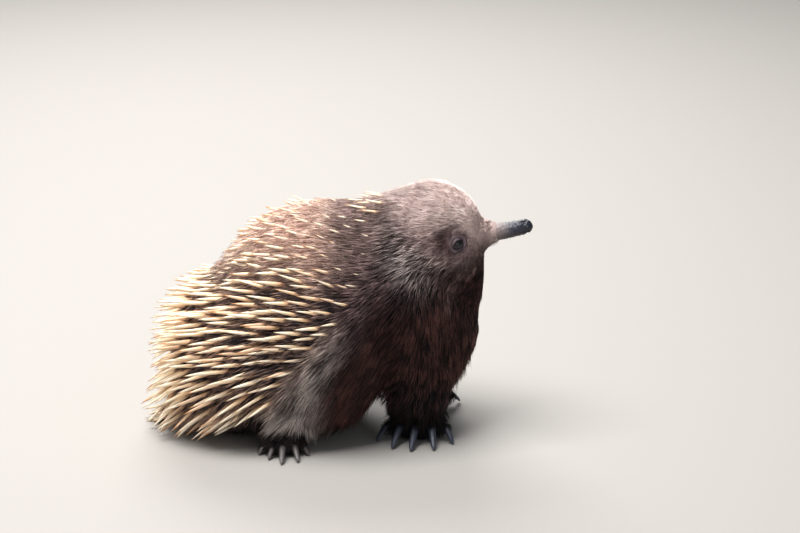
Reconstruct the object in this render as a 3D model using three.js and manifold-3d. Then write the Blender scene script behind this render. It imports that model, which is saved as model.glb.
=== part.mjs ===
// A short-beaked echidna standing on its four feet, rump low and head raised to reach up with its beak.
// Millimetres, +Z up, +X towards the head, +Y to the animal's left. The soles stand at Z = 0.
import * as THREE from "three";
import { MeshSurfaceSampler } from "three/addons/math/MeshSurfaceSampler.js";
import { mergeVertices } from "three/addons/utils/BufferGeometryUtils.js";
import Module from "manifold-3d";

const wasm = await Module();
wasm.setup();

// Driving dimensions
const gap = 0.3; // clear space between neighbouring solids
const clearance = 0.4; // how much larger a solid is grown where a neighbour is cut clear of it
const grain = 0.01; // grid that finished vertices lie on
const trunkCell = 12; // grid step of the trunk's surface
const headCell = 7.4;
const limbCell = 9;
const pawCell = 7.4;
const coreDepth = 7; // how far the trunk's core lies inside the tips of the coat
const rearDepth = 17; // the same towards the rump, where the spines are long and stand out
const eyeCentre = new THREE.Vector3(90.5, 23.6, 155.5); // left eye, the right one is its mirror image
const eyeRadius = 5.2;
const lidRadius = 5.6; // middle of the ring of lids round the eye
const lidThickness = 1.5;
const lidRise = 2.6; // how far the lids' ring stands out from the middle of the eye
const eyeHollow = new THREE.Vector3(3.4, 11, 9); // half-sizes of the dip round the eye: depth, length, height
const earCentre = new THREE.Vector3(68, 30, 160);
const earRimHalf = new THREE.Vector3(2.2, 4, 10);
const earCupHalf = new THREE.Vector3(2.6, 1.5, 7.4);
const nostrilHalf = new THREE.Vector3(2.3, 0.9, 1.6);
const mouthLength = 11;
const mouthOpening = 0.6;
const clawTipHeight = 0.9;
const spineSpacing = 14; // between the roots of neighbouring spines
const lockSpacing = 19;
const legLockSpacing = 23;
const rootDepth = 3.2; // how far under the surface a spine or lock starts
const spineLengths = [18, 40]; // near the neck and on the rump
const spineRadii = [1.1, 2.1];
const lockLengths = [26, 38]; // near the neck and low on the flank
const legLockScale = 0.75;
const lockHalfWidths = [4.2, 6.4];
const lockHalfThickness = 1.4;
const tipHeight = 2; // lowest that a tip hangs
const coatSeed = 11;

const vec = (x, y, z) => new THREE.Vector3(x, y, z);
const degrees = THREE.MathUtils.degToRad;
const step = (low, high, x) => THREE.MathUtils.smoothstep(x, low, high); // low is less than high
const { lerp, clamp } = THREE.MathUtils;

// The trunk's soft masses: centre and half-sizes of each ellipsoid at the tips of the fur.
const masses = {
  tail: { centre: vec(-104, 0, 35), half: vec(36, 56, 31) },
  rump: { centre: vec(-70, 0, 69), half: vec(68, 84, 68) },
  belly: { centre: vec(-43, 0, 57), half: vec(88, 80, 46) },
  back: { centre: vec(-16, 0, 101), half: vec(79, 86, 80) },
  shoulders: { centre: vec(40, 0, 125), half: vec(50, 58, 62) },
  chest: { centre: vec(69, 0, 93), half: vec(41, 46, 57) },
  throat: { centre: vec(89, 0, 131), half: vec(19, 19, 24) },
  head: { centre: vec(73, 0, 161), half: vec(36, 29.5, 38) },
};
const massBlend = 20;
const muzzle = { from: vec(92, 0, 156), to: vec(114, 0, 156.4), radii: [17, 8.6], blend: 9 };

// Each leg: a tapering limb from a joint inside the trunk to the ankle, a paw, and a row of claws along
// the paw's edge. A claw's root lies across and forward from the middle of the paw, as seen along its heading.
const foreClaws = {
  across: [-21, -11.5, -0.5, 10.5, 20],
  forward: [8, 13.5, 15, 14, 9],
  turn: [-38, -18, -8, 8, 30],
  length: [20, 26, 28, 26, 19],
  rise: 14,
  radius: 3.4,
};
const hindClaws = {
  across: [-13, -7, -0.5, 7.5, 13],
  forward: [6, 10, 12, 11, 6.5],
  turn: [-40, -16, 0, 14, 40],
  length: [12, 16, 23, 20, 12],
  rise: 10,
  radius: 2.9,
};
const legs = [
  {
    name: "foreleg_right",
    foot: "forefoot_right",
    top: vec(54, -25, 84),
    middle: vec(62, -27, 48),
    ankle: vec(62, -21, 22),
    radii: [27, 22, 17],
    paw: { centre: vec(62, -20, 9.5), half: vec(22, 17, 14) },
    heading: -90,
    claws: foreClaws,
  },
  {
    name: "foreleg_left",
    foot: "forefoot_left",
    top: vec(56, 29, 84),
    middle: vec(64, 34, 48),
    ankle: vec(63, 31, 22),
    radii: [27, 22, 17],
    paw: { centre: vec(62, 31, 9.5), half: vec(22, 17, 14) },
    heading: 84,
    claws: foreClaws,
  },
  {
    name: "hindleg_right",
    foot: "hindfoot_right",
    top: vec(-42, -34, 50),
    middle: vec(-40, -44, 33),
    ankle: vec(-38, -54, 18),
    radii: [27, 20, 13],
    paw: { centre: vec(-38, -58, 8), half: vec(16, 16, 12) },
    heading: -88,
    claws: hindClaws,
  },
  {
    name: "hindleg_left",
    foot: "hindfoot_left",
    top: vec(-50, 34, 50),
    middle: vec(-50, 46, 33),
    ankle: vec(-50, 58, 18),
    radii: [27, 20, 13],
    paw: { centre: vec(-50, 62, 8), half: vec(16, 16, 12) },
    heading: 98,
    claws: hindClaws,
  },
];

const tail = { root: vec(-104, 0, 24), tip: vec(-127, 0, 7.4), rootRadius: 15, tipRadius: 8 };

// Cuts that part the trunk: a point on each cut and its normal, which points towards the head.
const cuts = {
  rump: { point: vec(-58, 0, 85), normal: vec(0.95, 0, 0.31).normalize() },
  neck: { point: vec(5, 0, 185), normal: vec(0.778, 0, 0.628).normalize() },
  head: { point: vec(38, 0, 183), normal: vec(0.725, 0, 0.689).normalize() },
};

// The beak runs from the furred face to the tip.
const beak = {
  root: vec(103, 0, 155),
  tip: vec(148, 0, 163),
  sides: 12,
  stations: [
    // share of the length, half height, half width, lift
    [0, 8.6, 8.8, 0.2],
    [0.24, 7.9, 8, 0.1],
    [0.46, 6.9, 7, 0],
    [0.64, 6.3, 6.4, 0],
    [0.8, 6.1, 6.2, 0.5],
    [0.89, 5.5, 5.8, 0.8],
    [0.96, 3.9, 4.2, 0.6],
  ],
};
const beakAxis = beak.tip.clone().sub(beak.root).normalize();
const beakLength = beak.tip.distanceTo(beak.root);

// Fields: each is negative inside its shape and close to a distance in millimetres near the surface.
function ellipsoid(p, { centre, half }) {
  const q = p.clone().sub(centre);
  const scaled = q.clone().divide(half);
  const k0 = scaled.length();
  const k1 = scaled.divide(half).length();
  return k1 < 1e-6 ? -Math.min(half.x, half.y, half.z) : (k0 * (k0 - 1)) / k1;
}

function taperedCapsule(p, a, b, ra, rb) {
  const ab = b.clone().sub(a);
  const t = clamp(p.clone().sub(a).dot(ab) / ab.lengthSq(), 0, 1);
  return p.distanceTo(a.clone().addScaledVector(ab, t)) - lerp(ra, rb, t);
}

function blend(a, b, width) {
  const h = Math.max(width - Math.abs(a - b), 0) / width;
  return Math.min(a, b) - (h * h * width) / 4;
}

function furField(p) {
  const trunk = Object.values(masses)
    .map((mass) => ellipsoid(p, mass))
    .reduce((a, b) => blend(a, b, massBlend));
  return blend(trunk, taperedCapsule(p, muzzle.from, muzzle.to, ...muzzle.radii), muzzle.blend);
}

// How deep the core lies under the coat's tips: nothing on the head, whose solid reaches out to its short fur.
function depthAt(p) {
  const headward = p.clone().sub(cuts.head.point).dot(cuts.head.normal);
  const depth = lerp(rearDepth, coreDepth, step(-75, 25, p.x));
  return depth * (1 - step(-22, 4, headward));
}

const coreField = (p) => furField(p) + depthAt(p);

function legField(p, leg) {
  const upper = taperedCapsule(p, leg.top, leg.middle, leg.radii[0], leg.radii[1]);
  const lower = taperedCapsule(p, leg.middle, leg.ankle, leg.radii[1], leg.radii[2]);
  return blend(upper, lower, 10);
}

const tailField = (p) => taperedCapsule(p, tail.root, tail.tip, tail.rootRadius, tail.tipRadius);

function gradient(field, p, h = 0.5) {
  const along = (axis) => field(p.clone().addScaledVector(axis, h)) - field(p.clone().addScaledVector(axis, -h));
  return vec(along(vec(1, 0, 0)), along(vec(0, 1, 0)), along(vec(0, 0, 1))).divideScalar(2 * h);
}

function onto(field, p, rounds = 3) {
  const q = p.clone();
  for (let i = 0; i < rounds; i++) {
    const g = gradient(field, q);
    q.addScaledVector(g, -field(q) / Math.max(g.lengthSq(), 0.05));
  }
  return q;
}

// A closed mesh of a field's zero surface: one vertex for each grid cell that the surface crosses,
// drawn onto the surface, and one quad for each grid edge that it crosses.
function surfaceOf(field, low, high, cell) {
  const count = [0, 1, 2].map((i) => Math.ceil((high.getComponent(i) - low.getComponent(i)) / cell) + 1);
  const at = (i, j, k) => (i * count[1] + j) * count[2] + k;
  const corner = (i, j, k) => vec(low.x + i * cell, low.y + j * cell, low.z + k * cell);
  const values = new Float64Array(count[0] * count[1] * count[2]);
  for (let i = 0; i < count[0]; i++)
    for (let j = 0; j < count[1]; j++)
      for (let k = 0; k < count[2]; k++) values[at(i, j, k)] = field(corner(i, j, k));

  const vertexOf = new Map();
  const positions = [];
  for (let i = 0; i + 1 < count[0]; i++)
    for (let j = 0; j + 1 < count[1]; j++)
      for (let k = 0; k + 1 < count[2]; k++) {
        const crossing = vec(0, 0, 0);
        let crossed = 0;
        const visit = (a, b) => {
          const va = values[at(...a)];
          const vb = values[at(...b)];
          if (va < 0 === vb < 0) return;
          crossing.add(corner(...a).lerp(corner(...b), va / (va - vb)));
          crossed += 1;
        };
        for (const u of [0, 1])
          for (const v of [0, 1]) {
            visit([i, j + u, k + v], [i + 1, j + u, k + v]);
            visit([i + u, j, k + v], [i + u, j + 1, k + v]);
            visit([i + u, j + v, k], [i + u, j + v, k + 1]);
          }
        if (!crossed) continue;
        vertexOf.set(at(i, j, k), positions.length / 3);
        positions.push(...onto(field, crossing.divideScalar(crossed), 1).toArray());
      }

  const faces = [];
  const point = (n) => vec(positions[3 * n], positions[3 * n + 1], positions[3 * n + 2]);
  const quad = (a, b, c, d, flip) => {
    const ring = flip ? [a, d, c, b] : [a, b, c, d];
    const [p, q, r, s] = ring.map(point);
    if (p.distanceTo(r) < q.distanceTo(s)) faces.push(ring[0], ring[1], ring[2], ring[0], ring[2], ring[3]);
    else faces.push(ring[1], ring[2], ring[3], ring[1], ring[3], ring[0]);
  };
  for (let i = 1; i + 1 < count[0]; i++)
    for (let j = 1; j + 1 < count[1]; j++)
      for (let k = 1; k + 1 < count[2]; k++) {
        const inside = values[at(i, j, k)] < 0;
        const cellAt = (a, b, c) => vertexOf.get(at(a, b, c));
        if (inside !== values[at(i + 1, j, k)] < 0)
          quad(cellAt(i, j - 1, k - 1), cellAt(i, j, k - 1), cellAt(i, j, k), cellAt(i, j - 1, k), !inside);
        if (inside !== values[at(i, j + 1, k)] < 0)
          quad(cellAt(i - 1, j, k - 1), cellAt(i - 1, j, k), cellAt(i, j, k), cellAt(i, j, k - 1), !inside);
        if (inside !== values[at(i, j, k + 1)] < 0)
          quad(cellAt(i - 1, j - 1, k), cellAt(i, j - 1, k), cellAt(i, j, k), cellAt(i - 1, j, k), !inside);
      }
  const geometry = new THREE.BufferGeometry();
  geometry.setAttribute("position", new THREE.Float32BufferAttribute(positions, 3));
  geometry.setIndex(faces);
  return geometry;
}

// Solids: closed geometries that can be joined and cut.
function solidOf(geometry) {
  const bare = geometry.clone();
  bare.deleteAttribute("normal");
  bare.deleteAttribute("uv");
  const merged = mergeVertices(bare, 1e-4);
  return new wasm.Manifold(
    new wasm.Mesh({
      numProp: 3,
      vertProperties: merged.attributes.position.array,
      triVerts: new Uint32Array(merged.index.array),
    }),
  );
}

// A solid's surface with its vertices on a fine grid, where joins and cuts leave some almost alike.
// Triangles that this closes up are dropped, and so are pairs that come to lie back to back.
function geometryOf(solid) {
  const mesh = solid.getMesh();
  const places = mesh.vertProperties.map((value) => Math.round(value / grain) * grain);
  const fine = new THREE.BufferGeometry();
  fine.setAttribute("position", new THREE.BufferAttribute(places, 3));
  fine.setIndex(new THREE.BufferAttribute(mesh.triVerts, 1));
  const geometry = mergeVertices(fine, grain / 10);
  const kept = new Map();
  for (let i = 0; i < geometry.index.count; i += 3) {
    const corners = [0, 1, 2].map((j) => geometry.index.getX(i + j));
    if (new Set(corners).size < 3) continue;
    const key = corners.toSorted((a, b) => a - b).join();
    if (!kept.delete(key)) kept.set(key, corners);
  }
  geometry.setIndex([...kept.values()].flat());
  return geometry;
}

// The solid of a field inside a box, closed where the box cuts it.
function fieldSolid(field, low, high, cell) {
  const middle = low.clone().add(high).divideScalar(2);
  const half = high.clone().sub(middle).subScalar(1.6 * cell);
  const clipped = (p) => {
    const q = p.clone().sub(middle);
    return Math.max(field(p), Math.abs(q.x) - half.x, Math.abs(q.y) - half.y, Math.abs(q.z) - half.z);
  };
  return solidOf(surfaceOf(clipped, low, high, cell));
}

const largest = (solid) => solid.decompose().reduce((a, b) => (b.volume() > a.volume() ? b : a));

const ahead = (solid, cut, by) => solid.trimByPlane(cut.normal.toArray(), cut.point.dot(cut.normal) + by);

const behind = (solid, cut, by) =>
  solid.trimByPlane(cut.normal.clone().negate().toArray(), -(cut.point.dot(cut.normal) - by));

// A closed tube through rings of equal count. Each ring is an array of points, and each end closes on a point.
function tubeOf(rings, startPoint, endPoint) {
  const sides = rings[0].length;
  const points = [startPoint, ...rings.flat(), endPoint];
  const last = points.length - 1;
  const faces = [];
  for (let i = 0; i < sides; i++) {
    const next = (i + 1) % sides;
    faces.push(0, 1 + next, 1 + i);
    for (let r = 0; r + 1 < rings.length; r++) {
      const a = 1 + r * sides;
      faces.push(a + i, a + next, a + sides + next, a + i, a + sides + next, a + sides + i);
    }
    const end = 1 + (rings.length - 1) * sides;
    faces.push(end + i, end + next, last);
  }
  const geometry = new THREE.BufferGeometry();
  geometry.setAttribute("position", new THREE.Float32BufferAttribute(points.flatMap((p) => p.toArray()), 3));
  geometry.setIndex(faces);
  return geometry;
}

// A ring of points around a centre, in the plane of two half-axes, the first one at the top.
const ringAt = (centre, across, up, sides) =>
  Array.from({ length: sides }, (_, i) => {
    const angle = Math.PI / 2 + (2 * Math.PI * i) / sides;
    return centre.clone().addScaledVector(across, Math.cos(angle)).addScaledVector(up, Math.sin(angle));
  });

function colourOf(r, g, b) {
  return new THREE.Color().setRGB(r, g, b, THREE.SRGBColorSpace);
}

const materials = {
  spinyCoat: new THREE.MeshStandardMaterial({ color: colourOf(0.55, 0.45, 0.36), roughness: 0.8 }),
  fur: new THREE.MeshStandardMaterial({ color: colourOf(0.47, 0.38, 0.34), roughness: 0.9 }),
  darkFur: new THREE.MeshStandardMaterial({ color: colourOf(0.2, 0.15, 0.13), roughness: 0.9 }),
  beakSkin: new THREE.MeshStandardMaterial({ color: colourOf(0.27, 0.25, 0.27), roughness: 0.5 }),
  claw: new THREE.MeshStandardMaterial({ color: colourOf(0.17, 0.19, 0.24), roughness: 0.45 }),
  eye: new THREE.MeshStandardMaterial({ color: colourOf(0.03, 0.025, 0.03), roughness: 0.1 }),
};

const echidna = new THREE.Group();

function addNode(name, solid, material) {
  const mesh = new THREE.Mesh(geometryOf(largest(solid)), material);
  mesh.name = name;
  echidna.add(mesh);
}

// The trunk's core, and the same a little larger, which others are cut clear of.
const trunkLow = vec(-170, -115, -22);
const trunkHigh = vec(145, 115, 232);
const trunk = fieldSolid(coreField, trunkLow, trunkHigh, trunkCell);
const trunkGrown = fieldSolid((p) => coreField(p) - clearance, trunkLow, trunkHigh, trunkCell);

const mirrored = (p, side) => vec(p.x, p.y * side, p.z);

// A closed bead of three half-axes, turned so that its own x looks along a direction.
function bead(centre, half, outward, columns, rows) {
  const geometry = new THREE.SphereGeometry(1, columns, rows).scale(half.x, half.y, half.z);
  const turn = new THREE.Matrix4().makeBasis(...frameOf(outward));
  return geometry.applyMatrix4(turn).translate(centre.x, centre.y, centre.z);
}

// Three axes of a right-handed frame: the direction itself, one across it and level, and one upwards.
function frameOf(direction) {
  const out = direction.clone().normalize();
  const across = vec(0, 0, 1).cross(out).normalize();
  return [out, across, out.clone().cross(across)];
}

function makeHead() {
  const low = vec(18, -50, 90);
  const high = vec(132, 50, 226);
  const skull = fieldSolid(coreField, low, high, headCell);
  let head = skull.subtract(beakSolid(gap));
  for (const side of [-1, 1]) {
    const eye = mirrored(eyeCentre, side);
    const outward = gradient(furField, eye).normalize();
    const face = onto(coreField, eye);
    const hollow = bead(face.clone().addScaledVector(outward, 1.2), eyeHollow, outward, 12, 8);
    const rim = new THREE.TorusGeometry(lidRadius, lidThickness, 5, 12)
      .rotateY(Math.PI / 2)
      .scale(1, 1.12, 0.86)
      .applyMatrix4(new THREE.Matrix4().makeBasis(...frameOf(outward)));
    rim.translate(...eye.clone().addScaledVector(outward, lidRise).toArray());
    const socket = new THREE.SphereGeometry(eyeRadius + gap, 12, 8).translate(eye.x, eye.y, eye.z);
    const earAt = onto(coreField, mirrored(earCentre, side));
    const earOut = gradient(furField, earAt).normalize();
    const earRim = bead(earAt, earRimHalf, earOut, 10, 8);
    const earCup = bead(earAt.clone().addScaledVector(earOut, 1.6), earCupHalf, earOut, 8, 6);
    head = head.subtract(solidOf(hollow)).add(solidOf(rim)).subtract(solidOf(socket));
    head = head.add(solidOf(earRim)).subtract(solidOf(earCup));
    const ball = new THREE.SphereGeometry(eyeRadius, 12, 8).translate(eye.x, eye.y, eye.z);
    addNode(side < 0 ? "eye_right" : "eye_left", solidOf(ball), materials.eye);
  }
  addNode("head", ahead(head, cuts.head, gap / 2), materials.fur);
}

// The beak's plain form, larger all round by extra. Its root is set into the face.
function beakSolid(extra) {
  const [out, across, up] = frameOf(beakAxis);
  const start = beak.root.clone().addScaledVector(out, -extra);
  const rings = beak.stations.map(([along, height, width, lift]) => {
    const centre = beak.root.clone().addScaledVector(out, along * beakLength - (along ? 0 : extra));
    centre.addScaledVector(up, lift);
    const halfWidth = across.clone().multiplyScalar(width + extra);
    return ringAt(centre, halfWidth, up.clone().multiplyScalar(height + extra), beak.sides);
  });
  return solidOf(tubeOf(rings, start, beak.tip.clone().addScaledVector(out, extra)));
}

function makeBeak() {
  const [out, across, up] = frameOf(beakAxis);
  let solid = beakSolid(0);
  for (const side of [-1, 1]) {
    const nostril = beak.tip.clone().addScaledVector(out, -6.5).addScaledVector(up, 5.6);
    nostril.addScaledVector(across, side * 2.3);
    solid = solid.subtract(solidOf(bead(nostril, nostrilHalf, out, 8, 6)));
  }
  const mouth = new THREE.BoxGeometry(mouthLength * 2, 30, mouthOpening);
  mouth.applyMatrix4(new THREE.Matrix4().makeBasis(out, across, up));
  mouth.translate(...beak.tip.clone().addScaledVector(up, -2.6).toArray());
  addNode("beak", solid.subtract(solidOf(mouth)), materials.beakSkin);
}

// A claw curves from its root in the toe down to its blunt tip, which stays just above the floor.
function clawSolid(root, tip, radius, extra) {
  const straight = tip.clone().sub(root);
  const [, across] = frameOf(straight);
  const bow = root.clone().lerp(tip, 0.5).add(vec(0, 0, straight.length() * 0.13));
  const curve = new THREE.QuadraticBezierCurve3(root, bow, tip);
  const rings = [0, 0.5, 0.88].map((t) => {
    const tangent = curve.getTangent(t);
    const up = tangent.clone().cross(across).normalize();
    const wide = radius * (1 - 0.5 * t * t) + extra;
    return ringAt(curve.getPoint(t), across.clone().multiplyScalar(wide), up.multiplyScalar(wide * 0.75), 6);
  });
  const back = root.clone().addScaledVector(curve.getTangent(0), -extra - 0.4);
  return solidOf(tubeOf(rings, back, tip.clone().addScaledVector(curve.getTangent(1), extra)));
}

// Where a leg's claws leave the toes and where they end. The left feet mirror the right ones.
function clawPlaces({ paw, heading, claws }) {
  const side = Math.sign(heading);
  const way = (turn) => vec(Math.cos(degrees(heading + turn)), Math.sin(degrees(heading + turn)), 0);
  return claws.length.map((length, i) => {
    const strong = length / Math.max(...claws.length);
    const root = vec(paw.centre.x, paw.centre.y, 0).addScaledVector(way(0), claws.forward[i]);
    root.addScaledVector(way(90), -side * claws.across[i]);
    root.z = claws.rise * (0.6 + 0.4 * strong);
    const fall = root.z - clawTipHeight;
    const toe = way(-side * claws.turn[i]);
    const tip = root.clone().addScaledVector(toe, Math.sqrt(length * length - fall * fall));
    tip.z = clawTipHeight;
    return { root, tip, toe, radius: claws.radius * (0.65 + 0.35 * strong) };
  });
}

// A paw: a pad with a toe running out to each claw.
function pawField(p, leg) {
  return clawPlaces(leg).reduce((value, { root, toe, radius }) => {
    const knuckle = root.clone().addScaledVector(toe, 3).add(vec(0, 0, -2.5));
    const heel = root.clone().lerp(leg.paw.centre, 0.6);
    return blend(value, taperedCapsule(p, heel, knuckle, 8, radius + 1.6), 4);
  }, ellipsoid(p, leg.paw));
}

// A paw's solid from the floor up to a height, larger all round by extra.
function pawSolid(leg, top, extra) {
  const reach = vec(46, 46, 34);
  const low = leg.paw.centre.clone().sub(reach);
  const high = leg.paw.centre.clone().add(reach);
  const solid = fieldSolid((p) => pawField(p, leg) - extra, low, high, pawCell);
  return solid.trimByPlane([0, 0, 1], 0).trimByPlane([0, 0, -1], -top);
}

// A paw with its claws, a little larger, which the hair that hangs over it is cut clear of.
function footGrown(leg) {
  const paw = pawSolid(leg, leg.ankle.z, 2 * clearance);
  return clawPlaces(leg).reduce((foot, { root, tip, radius }) => foot.add(clawSolid(root, tip, radius, gap)), paw);
}

function makeFoot(leg) {
  let solid = pawSolid(leg, leg.ankle.z - gap, 0).subtract(trunkGrown);
  clawPlaces(leg).forEach(({ root, tip, radius }, i) => {
    solid = solid.subtract(clawSolid(root, tip, radius, gap));
    addNode(`${leg.foot}_claw_${i + 1}`, clawSolid(root, tip, radius, 0), materials.claw);
  });
  addNode(leg.foot, solid, materials.darkFur);
}

// A seeded source of random numbers from 0 to 1.
function randomFrom(seed) {
  let state = seed;
  return () => {
    state = (state + 0x6d2b79f5) | 0;
    let t = Math.imul(state ^ (state >>> 15), 1 | state);
    t = (t + Math.imul(t ^ (t >>> 7), 61 | t)) ^ t;
    return ((t ^ (t >>> 14)) >>> 0) / 2 ** 32;
  };
}

// How much of the coat is spines: above a slanting line on each flank, back from the neck, and not underneath.
function spineShare(p, normal) {
  const above = step(-4, 10, p.z - (92 + 1.3 * p.x));
  return above * (1 - step(30, 44, p.x)) * step(-0.95, -0.75, normal.z);
}

// The spines point back and spread to the sides, up along the back and ever more down low on the rump.
function spineWay(p) {
  const rise = 0.35 * step(85, 150, p.z) - 1.2 * (1 - step(5, 85, p.z));
  return vec(-1, p.y / 230, rise).normalize();
}

// The hair lies back along the neck and flanks, more and more downwards towards the belly,
// and straight down the chest and legs.
function hairWay(p) {
  const front = step(42, 66, p.x) * (1 - step(120, 150, p.z));
  const down = lerp(1.5, 0.35, step(25, 150, p.z));
  return vec(lerp(-1, -0.12, front), 0, -lerp(down, 1.5, front)).normalize();
}

// A direction's part along a surface, raised off the surface by an angle kept between two limits.
function lifted(way, normal, low, high) {
  const unit = way.clone().normalize();
  const along = unit.clone().addScaledVector(normal, -unit.dot(normal)).normalize();
  const lift = clamp(Math.asin(unit.dot(normal)), degrees(low), degrees(high));
  return along.multiplyScalar(Math.cos(lift)).addScaledVector(normal, Math.sin(lift));
}

function pushOut(field, p, distance) {
  const short = distance - field(p);
  if (short > 0) p.addScaledVector(gradient(field, p).normalize(), short);
}

// How far back along a direction a piece starts, so that it starts well under the surface.
const runIn = (way, normal) => Math.min(rootDepth / Math.max(way.dot(normal), 0.2), 14);

// A spine: straight, narrow at the root, widest before the middle, and running to a point.
function spineLine(root, normal, { size, stray }, scale, obstacles) {
  const grown = (1 - step(-75, 40, root.x)) * 0.75 + size * 0.25;
  const length = scale * lerp(...spineLengths, grown);
  const radius = lerp(...spineRadii, grown);
  const steepest = lerp(52, 30, step(-120, -85, root.x));
  const way = lifted(spineWay(root).addScaledVector(stray, 0.3), normal, 18, steepest);
  const tip = root.clone().addScaledVector(way, length);
  for (const field of obstacles) pushOut(field, tip, radius + 2 * gap);
  tip.z = Math.max(tip.z, tipHeight);
  const straight = tip.clone().sub(root).normalize();
  const start = root.clone().addScaledVector(straight, -runIn(straight, normal));
  const line = [start, root.clone().lerp(tip, 0.4), tip];
  return { line, facing: [normal, normal], half: [radius * 0.5, radius, 0], thick: [radius * 0.5, radius] };
}

// A lock: a flat blade with a ridge along it, which bends with the hair over the surface
// and hangs free where the body curves under.
function lockLine(root, normal, { size, stray }, scale, obstacles) {
  const grown = (1 - step(60, 150, root.z)) * 0.7 + size * 0.3;
  const length = scale * lerp(...lockLengths, grown);
  const width = lerp(...lockHalfWidths, grown);
  const p = root.clone();
  const line = [];
  const facing = [normal, normal];
  for (const share of [0.4, 0.34, 0.26]) {
    const out = gradient(obstacles[0], p).normalize();
    const way = lifted(hairWay(p).addScaledVector(stray, 0.35), out, 10, out.z < -0.15 ? 70 : 16);
    if (line.length === 2) facing.push(out);
    p.addScaledVector(way, length * share);
    for (const field of obstacles) pushOut(field, p, lockHalfThickness + 2 * gap);
    p.z = Math.max(p.z, tipHeight);
    if (!line.length) {
      const straight = p.clone().sub(root).normalize();
      line.push(root.clone().addScaledVector(straight, -runIn(straight, normal)));
    }
    line.push(p.clone());
  }
  const thick = [0.8, 1, 0.75].map((share) => share * lockHalfThickness);
  return { line, facing, half: [width * 0.5, width, width * 0.7, 0], thick };
}

// The closed solid round a middle line: a ring at each of its points but the last, where it ends in a tip.
// The first two rings are parallel, so that the faces between them are flat.
function pieceSolid({ line, facing, half, thick }) {
  const rings = line.slice(0, -1).map((p, i) => {
    const onward = i < 2 ? line[1].clone().sub(line[0]) : line[i + 1].clone().sub(line[i - 1]);
    const across = facing[i].clone().cross(onward.normalize()).normalize();
    const up = onward.clone().cross(across).multiplyScalar(thick[i]);
    return ringAt(p, across.multiplyScalar(half[i]), up, 3);
  });
  const back = line[0].clone().lerp(line[1], -0.03);
  return solidOf(tubeOf(rings, back, line.at(-1)));
}

// The room between two middle lines, less their half-widths.
function roomBetween(a, b) {
  const samples = [a, b].map(({ line, half }) =>
    Array.from({ length: 9 }, (_, k) => {
      const along = (k / 8) * (line.length - 1);
      const i = Math.min(Math.floor(along), line.length - 2);
      return {
        p: line[i].clone().lerp(line[i + 1], along - i),
        wide: lerp(half[i], half[i + 1], along - i),
      };
    }),
  );
  return Math.min(...samples[0].flatMap((m) => samples[1].map((n) => m.p.distanceTo(n.p) - m.wide - n.wide)));
}

const coatRandom = randomFrom(coatSeed);
const pieces = [];

// Spines and locks spread evenly over a surface, each on the node that it grows from.
// One that comes too near another node's piece is grown shorter, or left out.
function growCoat(solid, obstacles, nodeAt, hairSpacing, size) {
  const sampler = new MeshSurfaceSampler(new THREE.Mesh(geometryOf(solid)));
  sampler.setRandomGenerator(coatRandom).build();
  const roots = [];
  for (let tries = 0; tries < 6000; tries++) {
    const root = vec(0, 0, 0);
    sampler.sample(root);
    const node = nodeAt(root);
    if (!node) continue;
    const normal = gradient(obstacles[0], root).normalize();
    const spiny = spineShare(root, normal) > coatRandom();
    const spacing = spiny ? spineSpacing : hairSpacing;
    if (roots.some((other) => other.distanceTo(root) < spacing)) continue;
    roots.push(root);
    const stray = vec(coatRandom() - 0.5, coatRandom() - 0.5, coatRandom() - 0.5);
    const draw = { size: coatRandom(), stray };
    const lineOf = spiny ? spineLine : lockLine;
    for (const shorter of [1, 0.8, 0.6]) {
      const piece = { node, ...lineOf(root, normal, draw, size * shorter, obstacles) };
      const near = pieces.some((other) => other.node !== node && roomBetween(piece, other) < 2 * gap);
      if (near) continue;
      pieces.push(piece);
      break;
    }
  }
}

const withCoat = (solid, name) =>
  pieces.filter((piece) => piece.node === name).reduce((grown, piece) => grown.add(pieceSolid(piece)), solid);

const limbFields = [...legs.map((leg) => (p) => legField(p, leg)), tailField];

// Which part of the trunk a root belongs to. None grows on a cut or the head, or where a leg or the tail leaves.
function trunkNodeAt(root) {
  const beyond = (cut) => root.clone().sub(cut.point).dot(cut.normal);
  const margin = 4;
  if (beyond(cuts.head) > -2 * margin || limbFields.some((field) => field(root) < margin)) return null;
  if (Math.min(Math.abs(beyond(cuts.rump)), Math.abs(beyond(cuts.neck))) < margin) return null;
  if (root.z < tipHeight + margin) return null;
  return beyond(cuts.rump) < 0 ? "rump" : beyond(cuts.neck) < 0 ? "torso" : "neck";
}

function legSolid(leg, extra) {
  const low = vec(leg.top.x - 60, leg.top.y - 60, -10);
  const high = vec(leg.top.x + 60, leg.top.y + 60, leg.top.z + 50);
  const limb = fieldSolid((p) => legField(p, leg) - extra, low, high, limbCell);
  return limb.trimByPlane([0, 0, 1], leg.ankle.z - extra);
}

function makeLegs() {
  for (const leg of legs) {
    const bare = legSolid(leg, 0).subtract(trunkGrown);
    const own = (p) => legField(p, leg);
    const obstacles = [own, coreField, (p) => pawField(p, leg)];
    const clearOfJoints = (root) => coreField(root) > 5 && root.z > leg.ankle.z + 7;
    growCoat(bare, obstacles, (root) => (clearOfJoints(root) ? leg.name : null), legLockSpacing, legLockScale);
    const material = leg.name.startsWith("fore") ? materials.darkFur : materials.fur;
    addNode(leg.name, withCoat(bare, leg.name).subtract(trunkGrown).subtract(footGrown(leg)), material);
  }
}

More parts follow.
